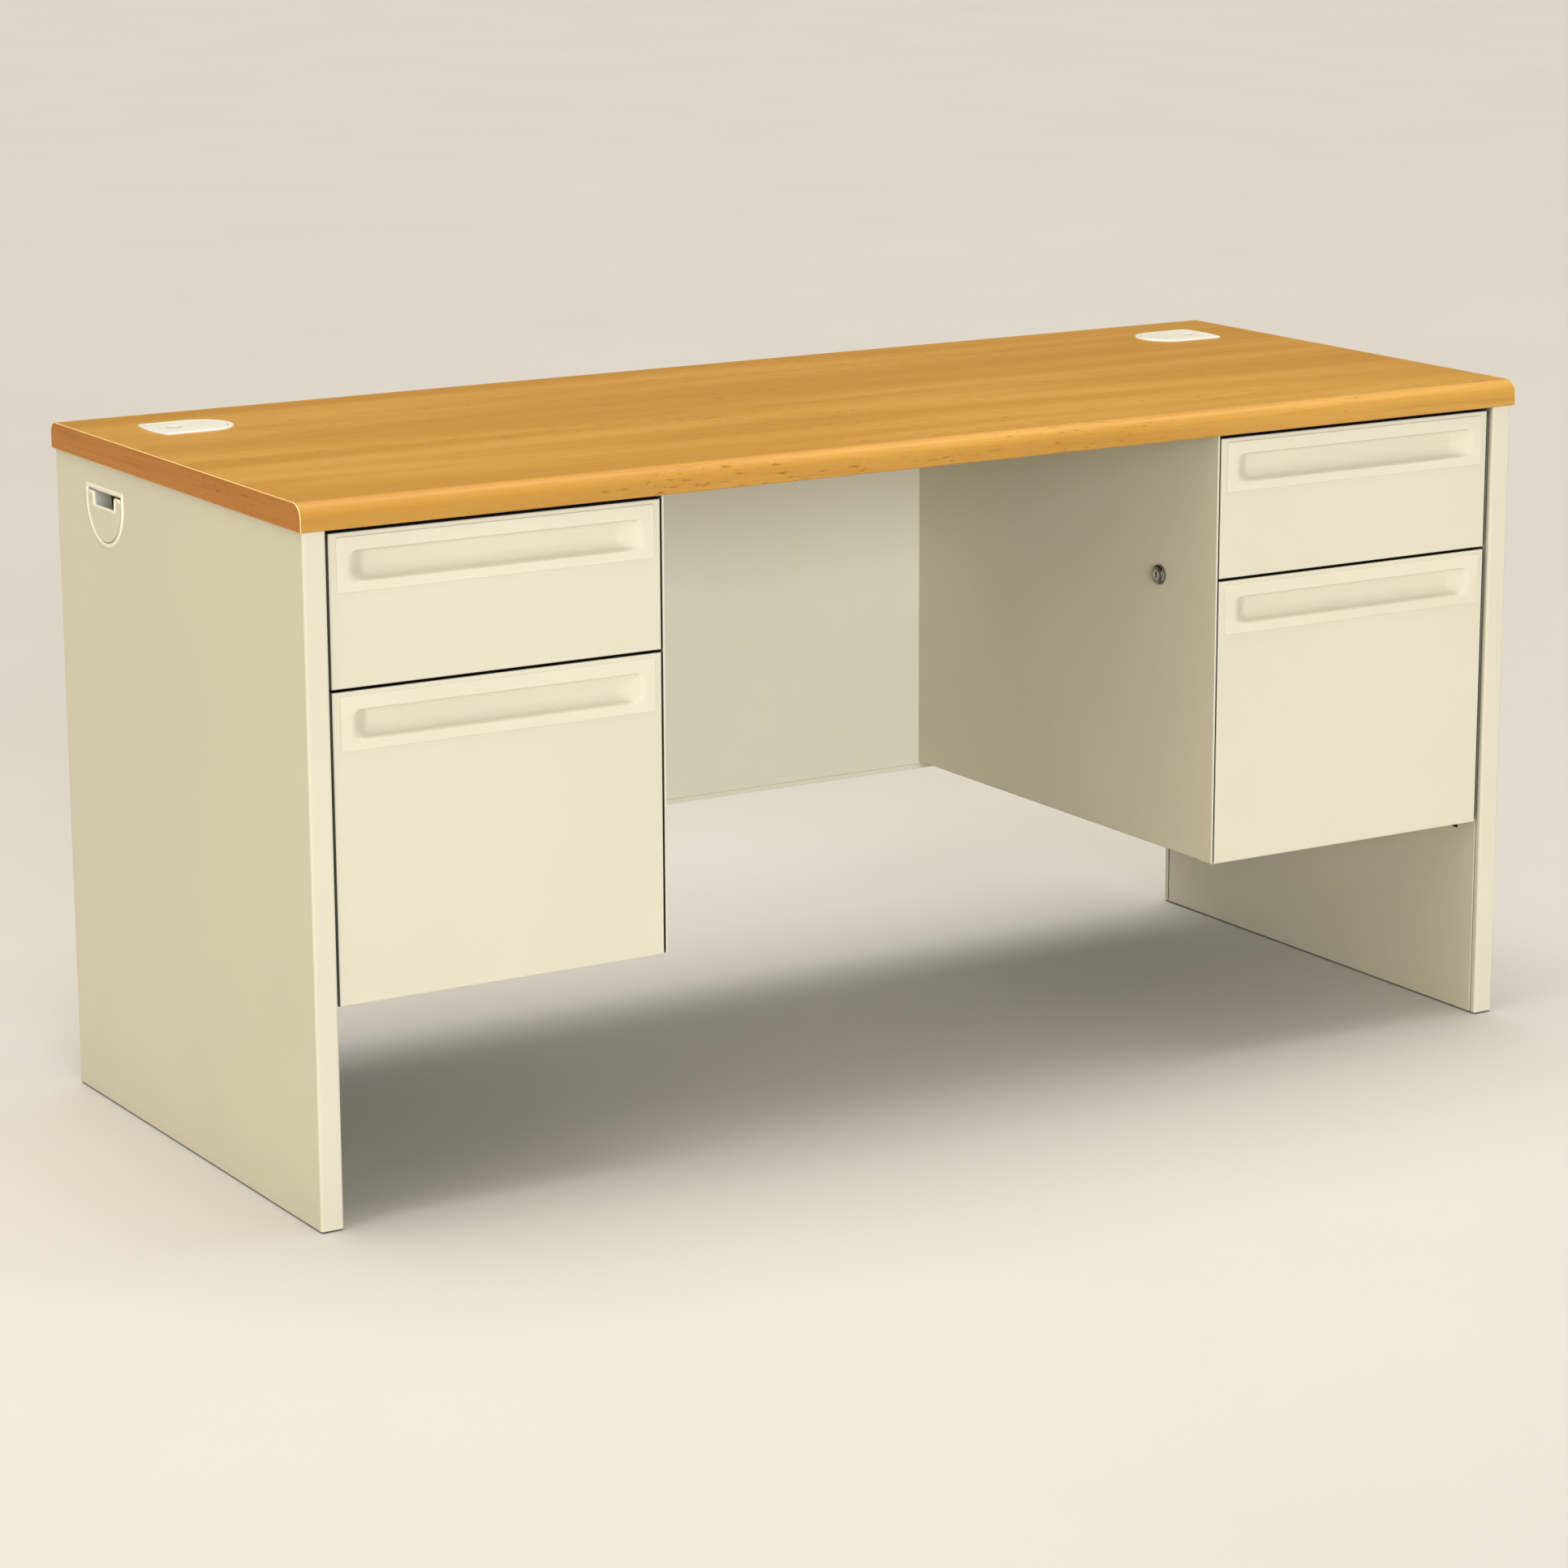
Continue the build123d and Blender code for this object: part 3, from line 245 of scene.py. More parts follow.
def oak_laminate():
    """Satin laminate with the grain printed along the worktop's length."""
    finish = Finish("oak_laminate", specular=0.2)
    colour, streaks, hair = wood_grain(finish, OAK_LIGHT, OAK_MIDDLE, OAK_DARK, along=0)
    finish.set("Base Color", colour)
    finish.set("Roughness", finish.band(streaks, 0.3, 0.75, 0.27, 0.36))
    finish.relief(hair, 0.10, 0.0002)
    return finish.material


def edge_band():
    """The same print on a solid edging, darker, with a pale painted highlight on its arris and on its faces
    that do not face outward.
    """
    finish = Finish("edge_band", specular=0.2)
    tones = [tinted(tone, BAND_TINT) for tone in (OAK_LIGHT, OAK_MIDDLE, OAK_DARK)]
    colour, streaks, hair = wood_grain(finish, *tones, along=1)
    direction = finish.add("ShaderNodeSeparateXYZ")
    finish.link(finish.direction, direction.inputs["Vector"])
    outward = finish.maths("ABSOLUTE", direction.outputs["X"])
    # painted highlight: faces that do not point along the worktop's length, such as the band's top and
    # rounded arris, are coloured pale
    colour = finish.blend(finish.band(outward, 0.80, 0.97, 1.0, 0.0), colour, PAINTED_ARRIS_HIGHLIGHT)
    finish.set("Base Color", colour)
    finish.set("Roughness", finish.band(streaks, 0.3, 0.75, 0.34, 0.44))
    finish.relief(hair, 0.10, 0.0002, edge_radius=0.0004)
    return finish.material


def particleboard():
    """The board's core: pale and dark chips, with dark dust between them."""
    finish = Finish("particleboard", roughness=0.85, specular=0.2)
    chips = finish.cells((420.0, 300.0, 520.0))
    dust = finish.noise((1400.0, 1400.0, 1400.0), detail=3.0)
    colour = finish.blend(chips, (0.34, 0.22, 0.12), (0.66, 0.50, 0.32))
    colour = finish.blend(finish.band(dust, 0.55, 0.8, 0.0, 0.4), colour, (0.22, 0.13, 0.07))
    finish.set("Base Color", colour)
    finish.relief(chips, 0.5, 0.0004)
    return finish.material


def backer_sheet():
    """The brown paper sheet that balances the laminate, under the board."""
    finish = Finish("backer_sheet", specular=0.3)
    fibre = finish.noise((240.0, 60.0, 240.0), detail=4.0, roughness=0.65)
    colour = finish.blend(finish.band(fibre, 0.3, 0.7), (0.20, 0.135, 0.085), (0.29, 0.205, 0.135))
    finish.set("Base Color", colour)
    finish.set("Roughness", finish.band(fibre, 0.3, 0.7, 0.55, 0.72))
    finish.relief(fibre, 0.15, 0.0002)
    return finish.material


PUTTY = (0.655, 0.598, 0.430)
GAP_SHADE = (0.016, 0.015, 0.012)


def putty_paint():
    """Powder coat: a fine orange peel, a little lighter over edges as a painted highlight, and near black in
    narrow gaps as painted shade.
    """
    finish = Finish("putty_paint", specular=0.4)
    peel = finish.noise((620.0, 620.0, 620.0), detail=2.0, roughness=0.45)
    grit = finish.noise((2600.0, 2600.0, 2600.0), detail=1.0)
    cloud = finish.noise((3.0, 3.0, 3.0), detail=3.0, roughness=0.6)
    colour = finish.blend(finish.band(cloud, 0.3, 0.7), shade(PUTTY, 0.975), shade(PUTTY, 1.02))
    colour = finish.blend(finish.band(grit, 0.35, 0.75, 0.0, 0.35), colour, shade(PUTTY, 0.90))
    # painted highlight: the paint is coloured lighter within about a millimetre of sharp edges
    colour = finish.blend(finish.maths("MULTIPLY", finish.edges(0.0012), 0.45), colour, shade(PUTTY, 1.16))
    # painted shade: narrow gaps between parts are coloured near black
    colour = finish.blend(finish.crevices(0.014, 0.22, 0.50), colour, GAP_SHADE)
    finish.set("Base Color", colour)
    finish.set("Roughness", finish.band(peel, 0.3, 0.7, 0.42, 0.52))
    finish.relief(peel, 0.16, 0.0004, edge_radius=0.0008)
    return finish.material


def moulded_plastic(name, base):
    """Moulded plastic: spark-eroded grain, finer and smoother than the paint beside it."""
    finish = Finish(name, specular=0.45)
    grain = finish.noise((1500.0, 1500.0, 1500.0), detail=2.0, roughness=0.6)
    flow = finish.noise((5.0, 18.0, 18.0), detail=2.0, distortion=0.4)
    colour = finish.blend(finish.band(flow, 0.3, 0.7), shade(base, 0.985), shade(base, 1.02))
    colour = finish.blend(finish.band(grain, 0.4, 0.8, 0.0, 0.25), colour, shade(base, 0.92))
    # painted shade: narrow gaps and tight hollows are coloured a dark putty
    colour = finish.blend(finish.crevices(0.004, 0.25, 0.55), colour, shade(PUTTY, 0.30))
    finish.set("Base Color", colour)
    finish.set("Roughness", finish.band(grain, 0.3, 0.7, 0.34, 0.44))
    finish.relief(grain, 0.12, 0.0002)
    return finish.material


def putty_plastic():
    """Plastic that is coloured to match the paint, for the pulls and the end covers."""
    return moulded_plastic("putty_plastic", shade(PUTTY, 1.03))


def cream_and_highlight_plastic():
    """The same plastic made paler: the cream tone of the end-panel grommets' rings, and a painted highlight
    on the covers' raised beads.
    """
    return moulded_plastic("cream_and_highlight_plastic", (0.83, 0.77, 0.60))


def white_plastic():
    """Off-white plastic with a slight polish, for the worktop grommets."""
    finish = Finish("white_plastic", specular=0.5, coat=0.15)
    grain = finish.noise((1300.0, 1300.0, 1300.0), detail=2.0)
    flow = finish.noise((14.0, 14.0, 14.0), detail=2.0, distortion=0.5)
    colour = finish.blend(finish.band(flow, 0.3, 0.7), (0.79, 0.74, 0.60), (0.83, 0.78, 0.64))
    colour = finish.blend(finish.band(grain, 0.45, 0.8, 0.0, 0.3), colour, (0.69, 0.65, 0.54))
    # painted shade: the grooves and narrow gaps are coloured near black
    colour = finish.blend(finish.crevices(0.006, 0.2, 0.6), colour, (0.10, 0.10, 0.09))
    finish.set("Base Color", colour)
    finish.set("Roughness", finish.band(grain, 0.3, 0.7, 0.28, 0.36))
    finish.relief(grain, 0.10, 0.0002)
    return finish.material


def zinc_steel():
    """Bright zinc plate: faint crystals, drawing lines and a blue-yellow passivate tint."""
    finish = Finish("zinc_steel", metallic=1.0)
    crystals = finish.cells((90.0, 90.0, 90.0))
    drawn = finish.noise((40.0, 6.0, 900.0), detail=2.0)
    tint = finish.noise((22.0, 9.0, 22.0), detail=3.0, distortion=0.6)
    colour = finish.blend(finish.band(tint, 0.35, 0.68), (0.60, 0.62, 0.64), (0.68, 0.65, 0.57))
    colour = finish.blend(finish.maths("MULTIPLY", crystals, 0.22), colour, (0.42, 0.43, 0.44))
    finish.set("Base Color", colour)
    finish.set("Roughness", finish.band(drawn, 0.3, 0.7, 0.26, 0.44))
    finish.relief(drawn, 0.08, 0.0001, edge_radius=0.0004)
    return finish.material


def lock_chrome():
    """Dark polished chrome with faint wiping marks, for the lock's domed bezel."""
    finish = Finish("lock_chrome", metallic=1.0)
    wipe = finish.noise((160.0, 900.0, 900.0), detail=3.0, roughness=0.6)
    cloud = finish.noise((130.0, 130.0, 130.0), detail=2.0)
    colour = finish.blend(finish.band(cloud, 0.3, 0.7), (0.20, 0.20, 0.21), (0.27, 0.27, 0.27))
    finish.set("Base Color", colour)
    finish.set("Roughness", finish.band(wipe, 0.3, 0.75, 0.10, 0.22))
    finish.relief(wipe, 0.04, 0.0001)
    return finish.material


def lock_face():
    """Brushed metal of the lock's plug, with painted shade, near black, inside its keyway."""
    finish = Finish("lock_face", metallic=1.0)
    brushed = finish.noise((300.0, 300.0, 2600.0), detail=2.0, roughness=0.6)
    wear = finish.noise((260.0, 260.0, 260.0), detail=3.0)
    colour = finish.blend(finish.band(wear, 0.35, 0.7), (0.50, 0.50, 0.45), (0.62, 0.61, 0.56))
    # painted shade: the keyway and other narrow gaps are coloured near black
    colour = finish.blend(finish.crevices(0.004, 0.45, 0.92), colour, GAP_SHADE)
    finish.set("Base Color", colour)
    finish.set("Roughness", finish.band(brushed, 0.3, 0.7, 0.26, 0.42))
    finish.relief(brushed, 0.12, 0.0001)
    return finish.material


def black_nylon():
    """Black nylon with a fine grain and grey scuffs."""
    finish = Finish("black_nylon", specular=0.4)
    grain = finish.noise((1700.0, 1700.0, 1700.0), detail=2.0)
    scuffs = finish.noise((90.0, 90.0, 30.0), detail=4.0, roughness=0.7)
    colour = finish.blend(finish.band(scuffs, 0.52, 0.78), (0.022, 0.022, 0.023), (0.075, 0.073, 0.070))
    finish.set("Base Color", colour)
    finish.set("Roughness", finish.band(grain, 0.3, 0.7, 0.46, 0.62))
    finish.relief(grain, 0.25, 0.0003, edge_radius=0.0005)
    return finish.material


FINISHES = {
    "oak_laminate": oak_laminate,
    "edge_band": edge_band,
    "particleboard": particleboard,
    "backer_sheet": backer_sheet,
    "putty_paint": putty_paint,
    "putty_plastic": putty_plastic,
    "cream_and_highlight_plastic": cream_and_highlight_plastic,
    "white_plastic": white_plastic,
    "zinc_steel": zinc_steel,
    "lock_chrome": lock_chrome,
    "lock_face": lock_face,
    "black_nylon": black_nylon,
}
MATERIALS = {slot: make() for slot, make in FINISHES.items()}


def dress(piece, slot):
    """Gives a piece the material of a slot, and nothing else."""
    piece.data.materials.clear()
    piece.data.materials.append(MATERIALS[slot])


for node_name, node_object in NODES.items():
    dress(node_object, SLOTS[node_name])


# ------------------------------------------------------------------ mesh helpers
SHARP_ANGLE = math.radians(40)
WELD_DISTANCE = 0.002 * MM
CORNER_STEPS = 5


def arc(centre, radii, start, end, steps):
    """Points along part of an ellipse, with its two radii, from one angle in degrees to another."""
    points = []
    for step in range(steps + 1):
        turn = math.radians(start + (end - start) * step / steps)
        points.append((centre[0] + radii[0] * math.cos(turn), centre[1] + radii[1] * math.sin(turn)))
    return points


def corner(centre, radius, start, end, steps=CORNER_STEPS):
    """Points along part of a circle, from one angle in degrees to another."""
    return arc(centre, (radius, radius), start, end, steps)


def circle(centre, radius, steps):
    """Points of a whole circle, without its first point again."""
    return corner(centre, radius, 0, 360 - 360 / steps, steps - 1)


def weighted_sum(weights, values):
    """Each value times its weight, added up."""
    return sum(weight * value for weight, value in zip(weights, values))


def smooth(value):
    """A smooth step from 0 to 1."""
    value = min(max(value, 0.0), 1.0)
    return value * value * (3.0 - 2.0 * value)


def skin(shape, first, second):
    """A strip of faces between two closed loops of vertices."""
    for place in range(len(first)):
        after = (place + 1) % len(first)
        shape.faces.new((first[place], first[after], second[after], second[place]))


def loft(shape, loops, ring=False, cap_start=True, cap_end=True):
    """Skins a row of closed loops of points. A ring joins the last loop to the first."""
    rows = [[shape.verts.new(point) for point in loop] for loop in loops]
    pairs = list(zip(rows, rows[1:]))
    if ring:
        pairs.append((rows[-1], rows[0]))
    for first, second in pairs:
        skin(shape, first, second)
    if cap_start and not ring:
        shape.faces.new(rows[0])
    if cap_end and not ring:
        shape.faces.new(rows[-1][::-1])
    return rows


def fill_between(shape, *loops):
    """A flat face bounded by one outer loop of vertices and any number of inner ones."""
    edges = []
    for loop in loops:
        for ends in zip(loop, loop[1:] + loop[:1]):
            edges.append(shape.edges.get(ends) or shape.edges.new(ends))
    bmesh.ops.triangle_fill(shape, edges=edges, use_beauty=True)


def finished(shape, name, node, finishes=()):
    """Makes a mesh the piece that stands for a CAD node, on the node's body and in its slot."""
    bmesh.ops.remove_doubles(shape, verts=shape.verts, dist=WELD_DISTANCE)
    bmesh.ops.recalc_face_normals(shape, faces=shape.faces)
    mesh = bpy.data.meshes.new(name)
    shape.to_mesh(mesh)
    shape.free()
    mesh.polygons.foreach_set("use_smooth", [True] * len(mesh.polygons))
    mesh.set_sharp_from_angle(angle=SHARP_ANGLE)
    piece = bpy.data.objects.new(name, mesh)
    bpy.context.scene.collection.objects.link(piece)
    even = piece.modifiers.new("even_normals", "WEIGHTED_NORMAL")
    even.keep_sharp = True
    for finish in finishes or (SLOTS[node],):
        mesh.materials.append(MATERIALS[finish])
    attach(piece, BODY_OF[node])
    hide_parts(node)


# ------------------------------------------------------------------ drawer pulls
PULL_PROUD = 1.5 * MM
PULL_MOUTH_WIDTH = 336 * MM
PULL_MOUTH_HEIGHT = 30.5 * MM
PULL_TOP_BORDER = 14.3 * MM
PULL_BODY_BORDER = 6.0 * MM
PULL_BACK_WALL = 1.8 * MM
PULL_CORNER = 2.5 * MM
PULL_EDGE = 0.9 * MM
MOUTH_TAPER = 26 * MM
LIP_THICKNESS = 3.4 * MM
LIP_ROUND = 1.1 * MM
HOOK_RISE = 6.6 * MM
WALL_SWELL = 2.6 * MM
SCOOP_RISE = 12.5 * MM
MOUTH_ROUND = 2.2 * MM
HOOK_ROUND = 0.8 * MM
HOOK_ROUND_STEPS = 3
POCKET_RISE = 3.5 * MM
POCKET_STEPS = 8
SWELL_START = 5 * MM
SWELL_STEPS = 7
SCOOP_END = -78
SCOOP_STEPS = 12
SCOOP_SHORT = 0.35  # this and the lower lip's points are shares of the mouth's rounding
LOWER_LIP = (0.45, 0.1), (0.0, 0.55)
RAMP_STEPS = 14
NEAR = 0.01 * MM
PULL_EDGE_STEPS = 3
FOLD_ANGLE = math.radians(60)


def pull_profile(lip, back):
    """The cup's section as (depth, height), from the top lip round the hook and down to the lower edge."""
    wall = back - WALL_SWELL
    ceiling = lip + HOOK_RISE
    floor_height = lip - PULL_MOUTH_HEIGHT
    section = corner((LIP_ROUND, lip + LIP_ROUND), LIP_ROUND, 180, 270)
    hook_middle = (LIP_THICKNESS - HOOK_ROUND, lip + HOOK_ROUND)
    section += corner(hook_middle, HOOK_ROUND, -90, 0, HOOK_ROUND_STEPS)
    pocket_half = (wall - LIP_THICKNESS) / 2
    pocket_middle = (LIP_THICKNESS + pocket_half, ceiling - POCKET_RISE)
    section += arc(pocket_middle, (pocket_half, POCKET_RISE), 180, 0, POCKET_STEPS)
    turn = floor_height + SCOOP_RISE
    swell_top = lip - SWELL_START
    for step in range(1, SWELL_STEPS + 1):
        height = swell_top + (turn - swell_top) * step / SWELL_STEPS
        section.append((wall + WALL_SWELL * smooth(step / SWELL_STEPS), height))
    drop = SCOOP_RISE - SCOOP_SHORT * MOUTH_ROUND
    section += arc((MOUTH_ROUND, turn), (back - MOUTH_ROUND, drop), 0, SCOOP_END, SCOOP_STEPS)[1:]
    for inward, down in LOWER_LIP:
        section.append((inward * MOUTH_ROUND, floor_height - down * MOUTH_ROUND))
    return section


def flattened(section):
    """The same points let down evenly onto the flange's face."""
    walked = [0.0]
    for before, after in zip(section, section[1:]):
        walked.append(walked[-1] + math.dist(before, after))
    top, bottom = section[0][1], section[-1][1]
    return [top + (bottom - top) * distance / walked[-1] for distance in walked]


def pull_columns(middle, flange_half):
    """Places across the flange, each with the share of the cup's full depth that it has."""
    mouth_half = PULL_MOUTH_WIDTH / 2
    shares = [step / RAMP_STEPS for step in range(RAMP_STEPS + 1)]
    ramp = [(mouth_half - MOUTH_TAPER * share, smooth(share)) for share in shares]
    left = [(-flange_half, 0.0)] + [(-place, share) for place, share in ramp]
    right = [(place, share) for place, share in reversed(ramp)] + [(flange_half, 0.0)]
    return [(middle + place, share) for place, share in left + right]


def pull_front(shape, columns, section, face, top, bottom):
    """The visible face in one skin: flange, rounded lip, hook, back wall and scoop."""
    flat = flattened(section)
    rows = [[shape.verts.new((x, face, top)) for x, _ in columns]]
    for (depth, height), level in zip(section, flat):
        row = []
        for x, share in columns:
            row.append(shape.verts.new((x, face + share * depth, level + share * (height - level))))
        rows.append(row)
    rows.append([shape.verts.new((x, face, bottom)) for x, _ in columns])
    for upper, lower in zip(rows, rows[1:]):
        for place in range(len(columns) - 1):
            shape.faces.new((upper[place], upper[place + 1], lower[place + 1], lower[place]))
    right = [row[-1] for row in rows[1:-1]]
    left = [row[0] for row in rows[-2:0:-1]]
    return rows[0] + right + rows[-1][::-1] + left


def pull(side, kind):
    """Moulded pull: a thin flange with rounded corners, its cup blended in without a crease."""
    node = f"{side}_{kind}_pull"
    low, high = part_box(node)
    middle = (low[0] + high[0]) / 2
    half = (high[0] - low[0]) / 2
    face, rear = low[1], high[1]
    shape = bmesh.new()
    section = pull_profile(high[2] - PULL_TOP_BORDER, rear - face - PULL_BACK_WALL)
    rim = pull_front(shape, pull_columns(middle, half), section, face, high[2], low[2])
    body_x = half - PULL_BODY_BORDER
    body_z = (low[2] + PULL_BODY_BORDER, high[2] - PULL_BODY_BORDER)

    def tucked(place):
        x = min(max(place[0] - middle, -body_x), body_x) + middle
        return x, min(max(place[2], body_z[0]), body_z[1])

    flange_back = [shape.verts.new((vert.co.x, face + PULL_PROUD, vert.co.z)) for vert in rim]
    waist = []
    tail = []
    for vert in rim:
        x, z = tucked(vert.co)
        waist.append(shape.verts.new((x, face + PULL_PROUD, z)))
        tail.append(shape.verts.new((x, rear, z)))
    for first, second in ((rim, flange_back), (flange_back, waist), (waist, tail)):
        skin(shape, first, second)
    shape.faces.new(tail)
    bmesh.ops.recalc_face_normals(shape, faces=shape.faces)

    def at_corner(vert):
        beside = abs(abs(vert.co.x - middle) - half) < NEAR
        level = min(abs(vert.co.z - low[2]), abs(vert.co.z - high[2])) < NEAR
        return beside and level

    def through_flange(edge):
        first, second = edge.verts
        return at_corner(first) and at_corner(second) and abs(first.co.y - second.co.y) > MM

    def round_over(edges, radius, steps):
        bmesh.ops.bevel(shape, geom=edges, offset=radius, segments=steps, profile=0.5, affect="EDGES")

    round_over([edge for edge in shape.edges if through_flange(edge)], PULL_CORNER, CORNER_STEPS)
    front_edges = []
    for edge in shape.edges:
        flat = all(abs(vert.co.y - face) < NEAR for vert in edge.verts)
        if flat and edge.is_manifold and edge.calc_face_angle() > FOLD_ANGLE:
            front_edges.append(edge)
    round_over(front_edges, PULL_EDGE, PULL_EDGE_STEPS)
    finished(shape, f"{node}_moulding", node)


# ------------------------------------------------------------------ end-panel grommets
RING_WIDTH = 4.9 * MM
RING_PROUD = 1.4 * MM
RING_CORNER = 3.0 * MM
LEDGE_WIDTH = 1.4 * MM
LINER_WALL = 1.8 * MM
COVER_THICKNESS = 2.5 * MM
COVER_SUNK = 0.4 * MM
COVER_TOP_GAP = 2.4 * MM
COVER_SIDE_GAP = 0.7 * MM
FIT_GAP = 0.35 * MM
NOTCH_WIDTH = 53 * MM
NOTCH_DEPTH = 14 * MM
NOTCH_CORNER = 3.0 * MM
EAR_ROUND = 3.5 * MM
BEAD_WIDTH = 3.3 * MM
BEAD_PROUD = 1.0 * MM
BEAD_STEPS = 8
BEAD_SUNK = 0.1 * MM
EDGE_EASE = 0.5 * MM
EDGE_EASE_MIDDLE = 0.15 * MM
COVER_BACK_EASE = 0.3 * MM
LEDGE_GAP = 0.2 * MM
RING_STEPS = 12
HALF_ROUND_STEPS = 48
SMALLEST_RING_CORNER = 0.6 * MM
SMALLEST_EAR = 0.4 * MM

RING_LOW, RING_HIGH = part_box("end_grommet_bezels")
RING_MIDDLE = (RING_LOW[1] + RING_HIGH[1]) / 2
RING_HALF = (RING_HIGH[1] - RING_LOW[1]) / 2
RING_SPRING = RING_LOW[2] + RING_HALF
PANEL_FACE = RING_HIGH[0] - RING_PROUD
PANEL_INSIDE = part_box("right_end_inner_skin")[0][0]


def ring_outline(inset):
    """Elevation of the ring as (y, z): a straight top with eased corners over a half round."""
    half = RING_HALF - inset
    top = RING_HIGH[2] - inset
    ease = max(RING_CORNER - inset, SMALLEST_RING_CORNER)
    points = corner((RING_MIDDLE + half - ease, top - ease), ease, 90, 0)
    points += corner((RING_MIDDLE, RING_SPRING), half, 0, -180, HALF_ROUND_STEPS)
    points += corner((RING_MIDDLE - half + ease, top - ease), ease, 180, 90)
    return points


def end_bezel():
    """A rounded bead on the outer skin, a liner through the panel and a ledge behind the cover."""
    seat = RING_PROUD - COVER_SUNK - COVER_THICKNESS - LEDGE_GAP
    back = PANEL_INSIDE - PANEL_FACE
    section = arc((RING_WIDTH / 2, 0.0), (RING_WIDTH / 2, RING_PROUD), 180, 0, RING_STEPS)
    section += [(RING_WIDTH, seat), (RING_WIDTH + LEDGE_WIDTH, seat), (RING_WIDTH + LEDGE_WIDTH, back)]
    section += [(RING_WIDTH - LINER_WALL, back), (RING_WIDTH - LINER_WALL, 0.0)]
    shape = bmesh.new()
    for sign in SIDES.values():
        loops = []
        for inset, out in section:
            loops.append([(sign * (PANEL_FACE + out), y, z) for y, z in ring_outline(inset)])
        loft(shape, loops, ring=True)
    finished(shape, "end_grommet_rings", "end_grommet_bezels", ("cream_and_highlight_plastic",))


def cover_outline(inset):
    """Elevation of the cover as (y, z), from one ear round the bottom to the other and through the notch."""
    half = RING_HALF - RING_WIDTH - COVER_SIDE_GAP - inset
    top = RING_HIGH[2] - RING_WIDTH - COVER_TOP_GAP - inset
    ease = max(EAR_ROUND - inset, SMALLEST_EAR)
    notch = NOTCH_WIDTH / 2 + inset
    sill = top - NOTCH_DEPTH
    hollow = NOTCH_CORNER + inset
    middle = RING_MIDDLE
    points = corner((middle + half - ease, top - ease), ease, 90, 0)
    points += corner((middle, RING_SPRING), half, 0, -180, HALF_ROUND_STEPS)
    points += corner((middle - half + ease, top - ease), ease, 180, 90)
    points += corner((middle - notch - ease, top - ease), ease, 90, 0)
    points += corner((middle - notch + hollow, sill + hollow), hollow, 180, 270)
    points += corner((middle + notch - hollow, sill + hollow), hollow, 270, 360)
    points += corner((middle + notch + ease, top - ease), ease, 180, 90)
    return points


def bead_line(inset):
    """The part of the cover's outline that its bead follows: over both ears and through the notch."""
    outline = cover_outline(inset)
    ear_end = CORNER_STEPS + 1
    half_round_end = ear_end + HALF_ROUND_STEPS + 1
    return outline[half_round_end:] + outline[:ear_end]


def end_cover(side):
    """Snap-in cover with eased edges, and a rounded bead that follows its ears and cable notch."""
    sign = SIDES[side]
    face = PANEL_FACE + RING_PROUD - COVER_SUNK
    section = [(EDGE_EASE, 0.0), (EDGE_EASE_MIDDLE, -EDGE_EASE_MIDDLE), (0.0, -EDGE_EASE)]
    section += [(0.0, EDGE_EASE - COVER_THICKNESS), (COVER_BACK_EASE, -COVER_THICKNESS)]
    shape = bmesh.new()

    def upright(outline, out):
        return [(sign * (face + out), y, z) for y, z in outline]

    loft(shape, [upright(cover_outline(inset), out) for inset, out in section])
    bead_half = BEAD_WIDTH / 2
    bead_middle = (bead_half + EDGE_EASE_MIDDLE, -BEAD_SUNK)
    wraps = arc(bead_middle, (bead_half, BEAD_PROUD), 0, 180, BEAD_STEPS)
    lines = [upright(bead_line(inset), out) for inset, out in wraps]
    plate_faces = len(shape.faces)
    loft(shape, [list(points) for points in zip(*lines)])
    shape.faces.ensure_lookup_table()
    for bead_face in shape.faces[plate_faces:]:
        # painted highlight: the bead's faces take the paler plastic so that the bead shows as a bright line
        bead_face.material_index = 1
    node = f"{side}_end_grommet_cover"
    finished(shape, f"{side}_end_cover_plate", node, ("putty_plastic", "cream_and_highlight_plastic"))


# ------------------------------------------------------------------ worktop grommets
TONGUE_LOW, TONGUE_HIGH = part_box("right_top_grommet_cap")
FLANGE_LOW, FLANGE_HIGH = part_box("top_grommet_bezels")
FLANGE_HALF = (FLANGE_HIGH[1] - FLANGE_LOW[1]) / 2
CAP_INSET = FLANGE_HALF - (TONGUE_HIGH[1] - TONGUE_LOW[1]) / 2
MOUTH_INSET = CAP_INSET - FIT_GAP
TONGUE_OUTBOARD = TONGUE_HIGH[0] + CAP_INSET
TONGUE_INBOARD = TONGUE_LOW[0] - CAP_INSET
TONGUE_MIDDLE = (TONGUE_LOW[1] + TONGUE_HIGH[1]) / 2
TONGUE_BOW = 5.0 * MM
TONGUE_CORNER = 5.0 * MM
CAP_THICKNESS = 3.0 * MM
LAMINATE = 0.8 * MM
SLEEVE_WALL = 1.8 * MM
CABLE_HOLE = 8.5 * MM
CABLE_HOLE_FROM_END = 30 * MM
GROOVE_WIDTH = 1.6 * MM
GROOVE_DEPTH = 0.9 * MM
GROOVE_FROM_ROUND = 14 * MM
GROOVE_LENGTH = 20 * MM
GROOVE_FROM_HOLE = 1.2 * MM
GROOVE_FROM_BOW = 12 * MM
GROOVE_STEPS = 6
HOLE_STEPS = 48
TONGUE_ROUND_STEPS = 40
BOW_STEPS = 12
RIM_ROUND = 0.9 * MM
RIM_LIFT = 0.1 * MM
MOUTH_EASE = 0.5 * MM
MOUTH_EASE_STEPS = 4
CAP_LEDGE = 1.5 * MM


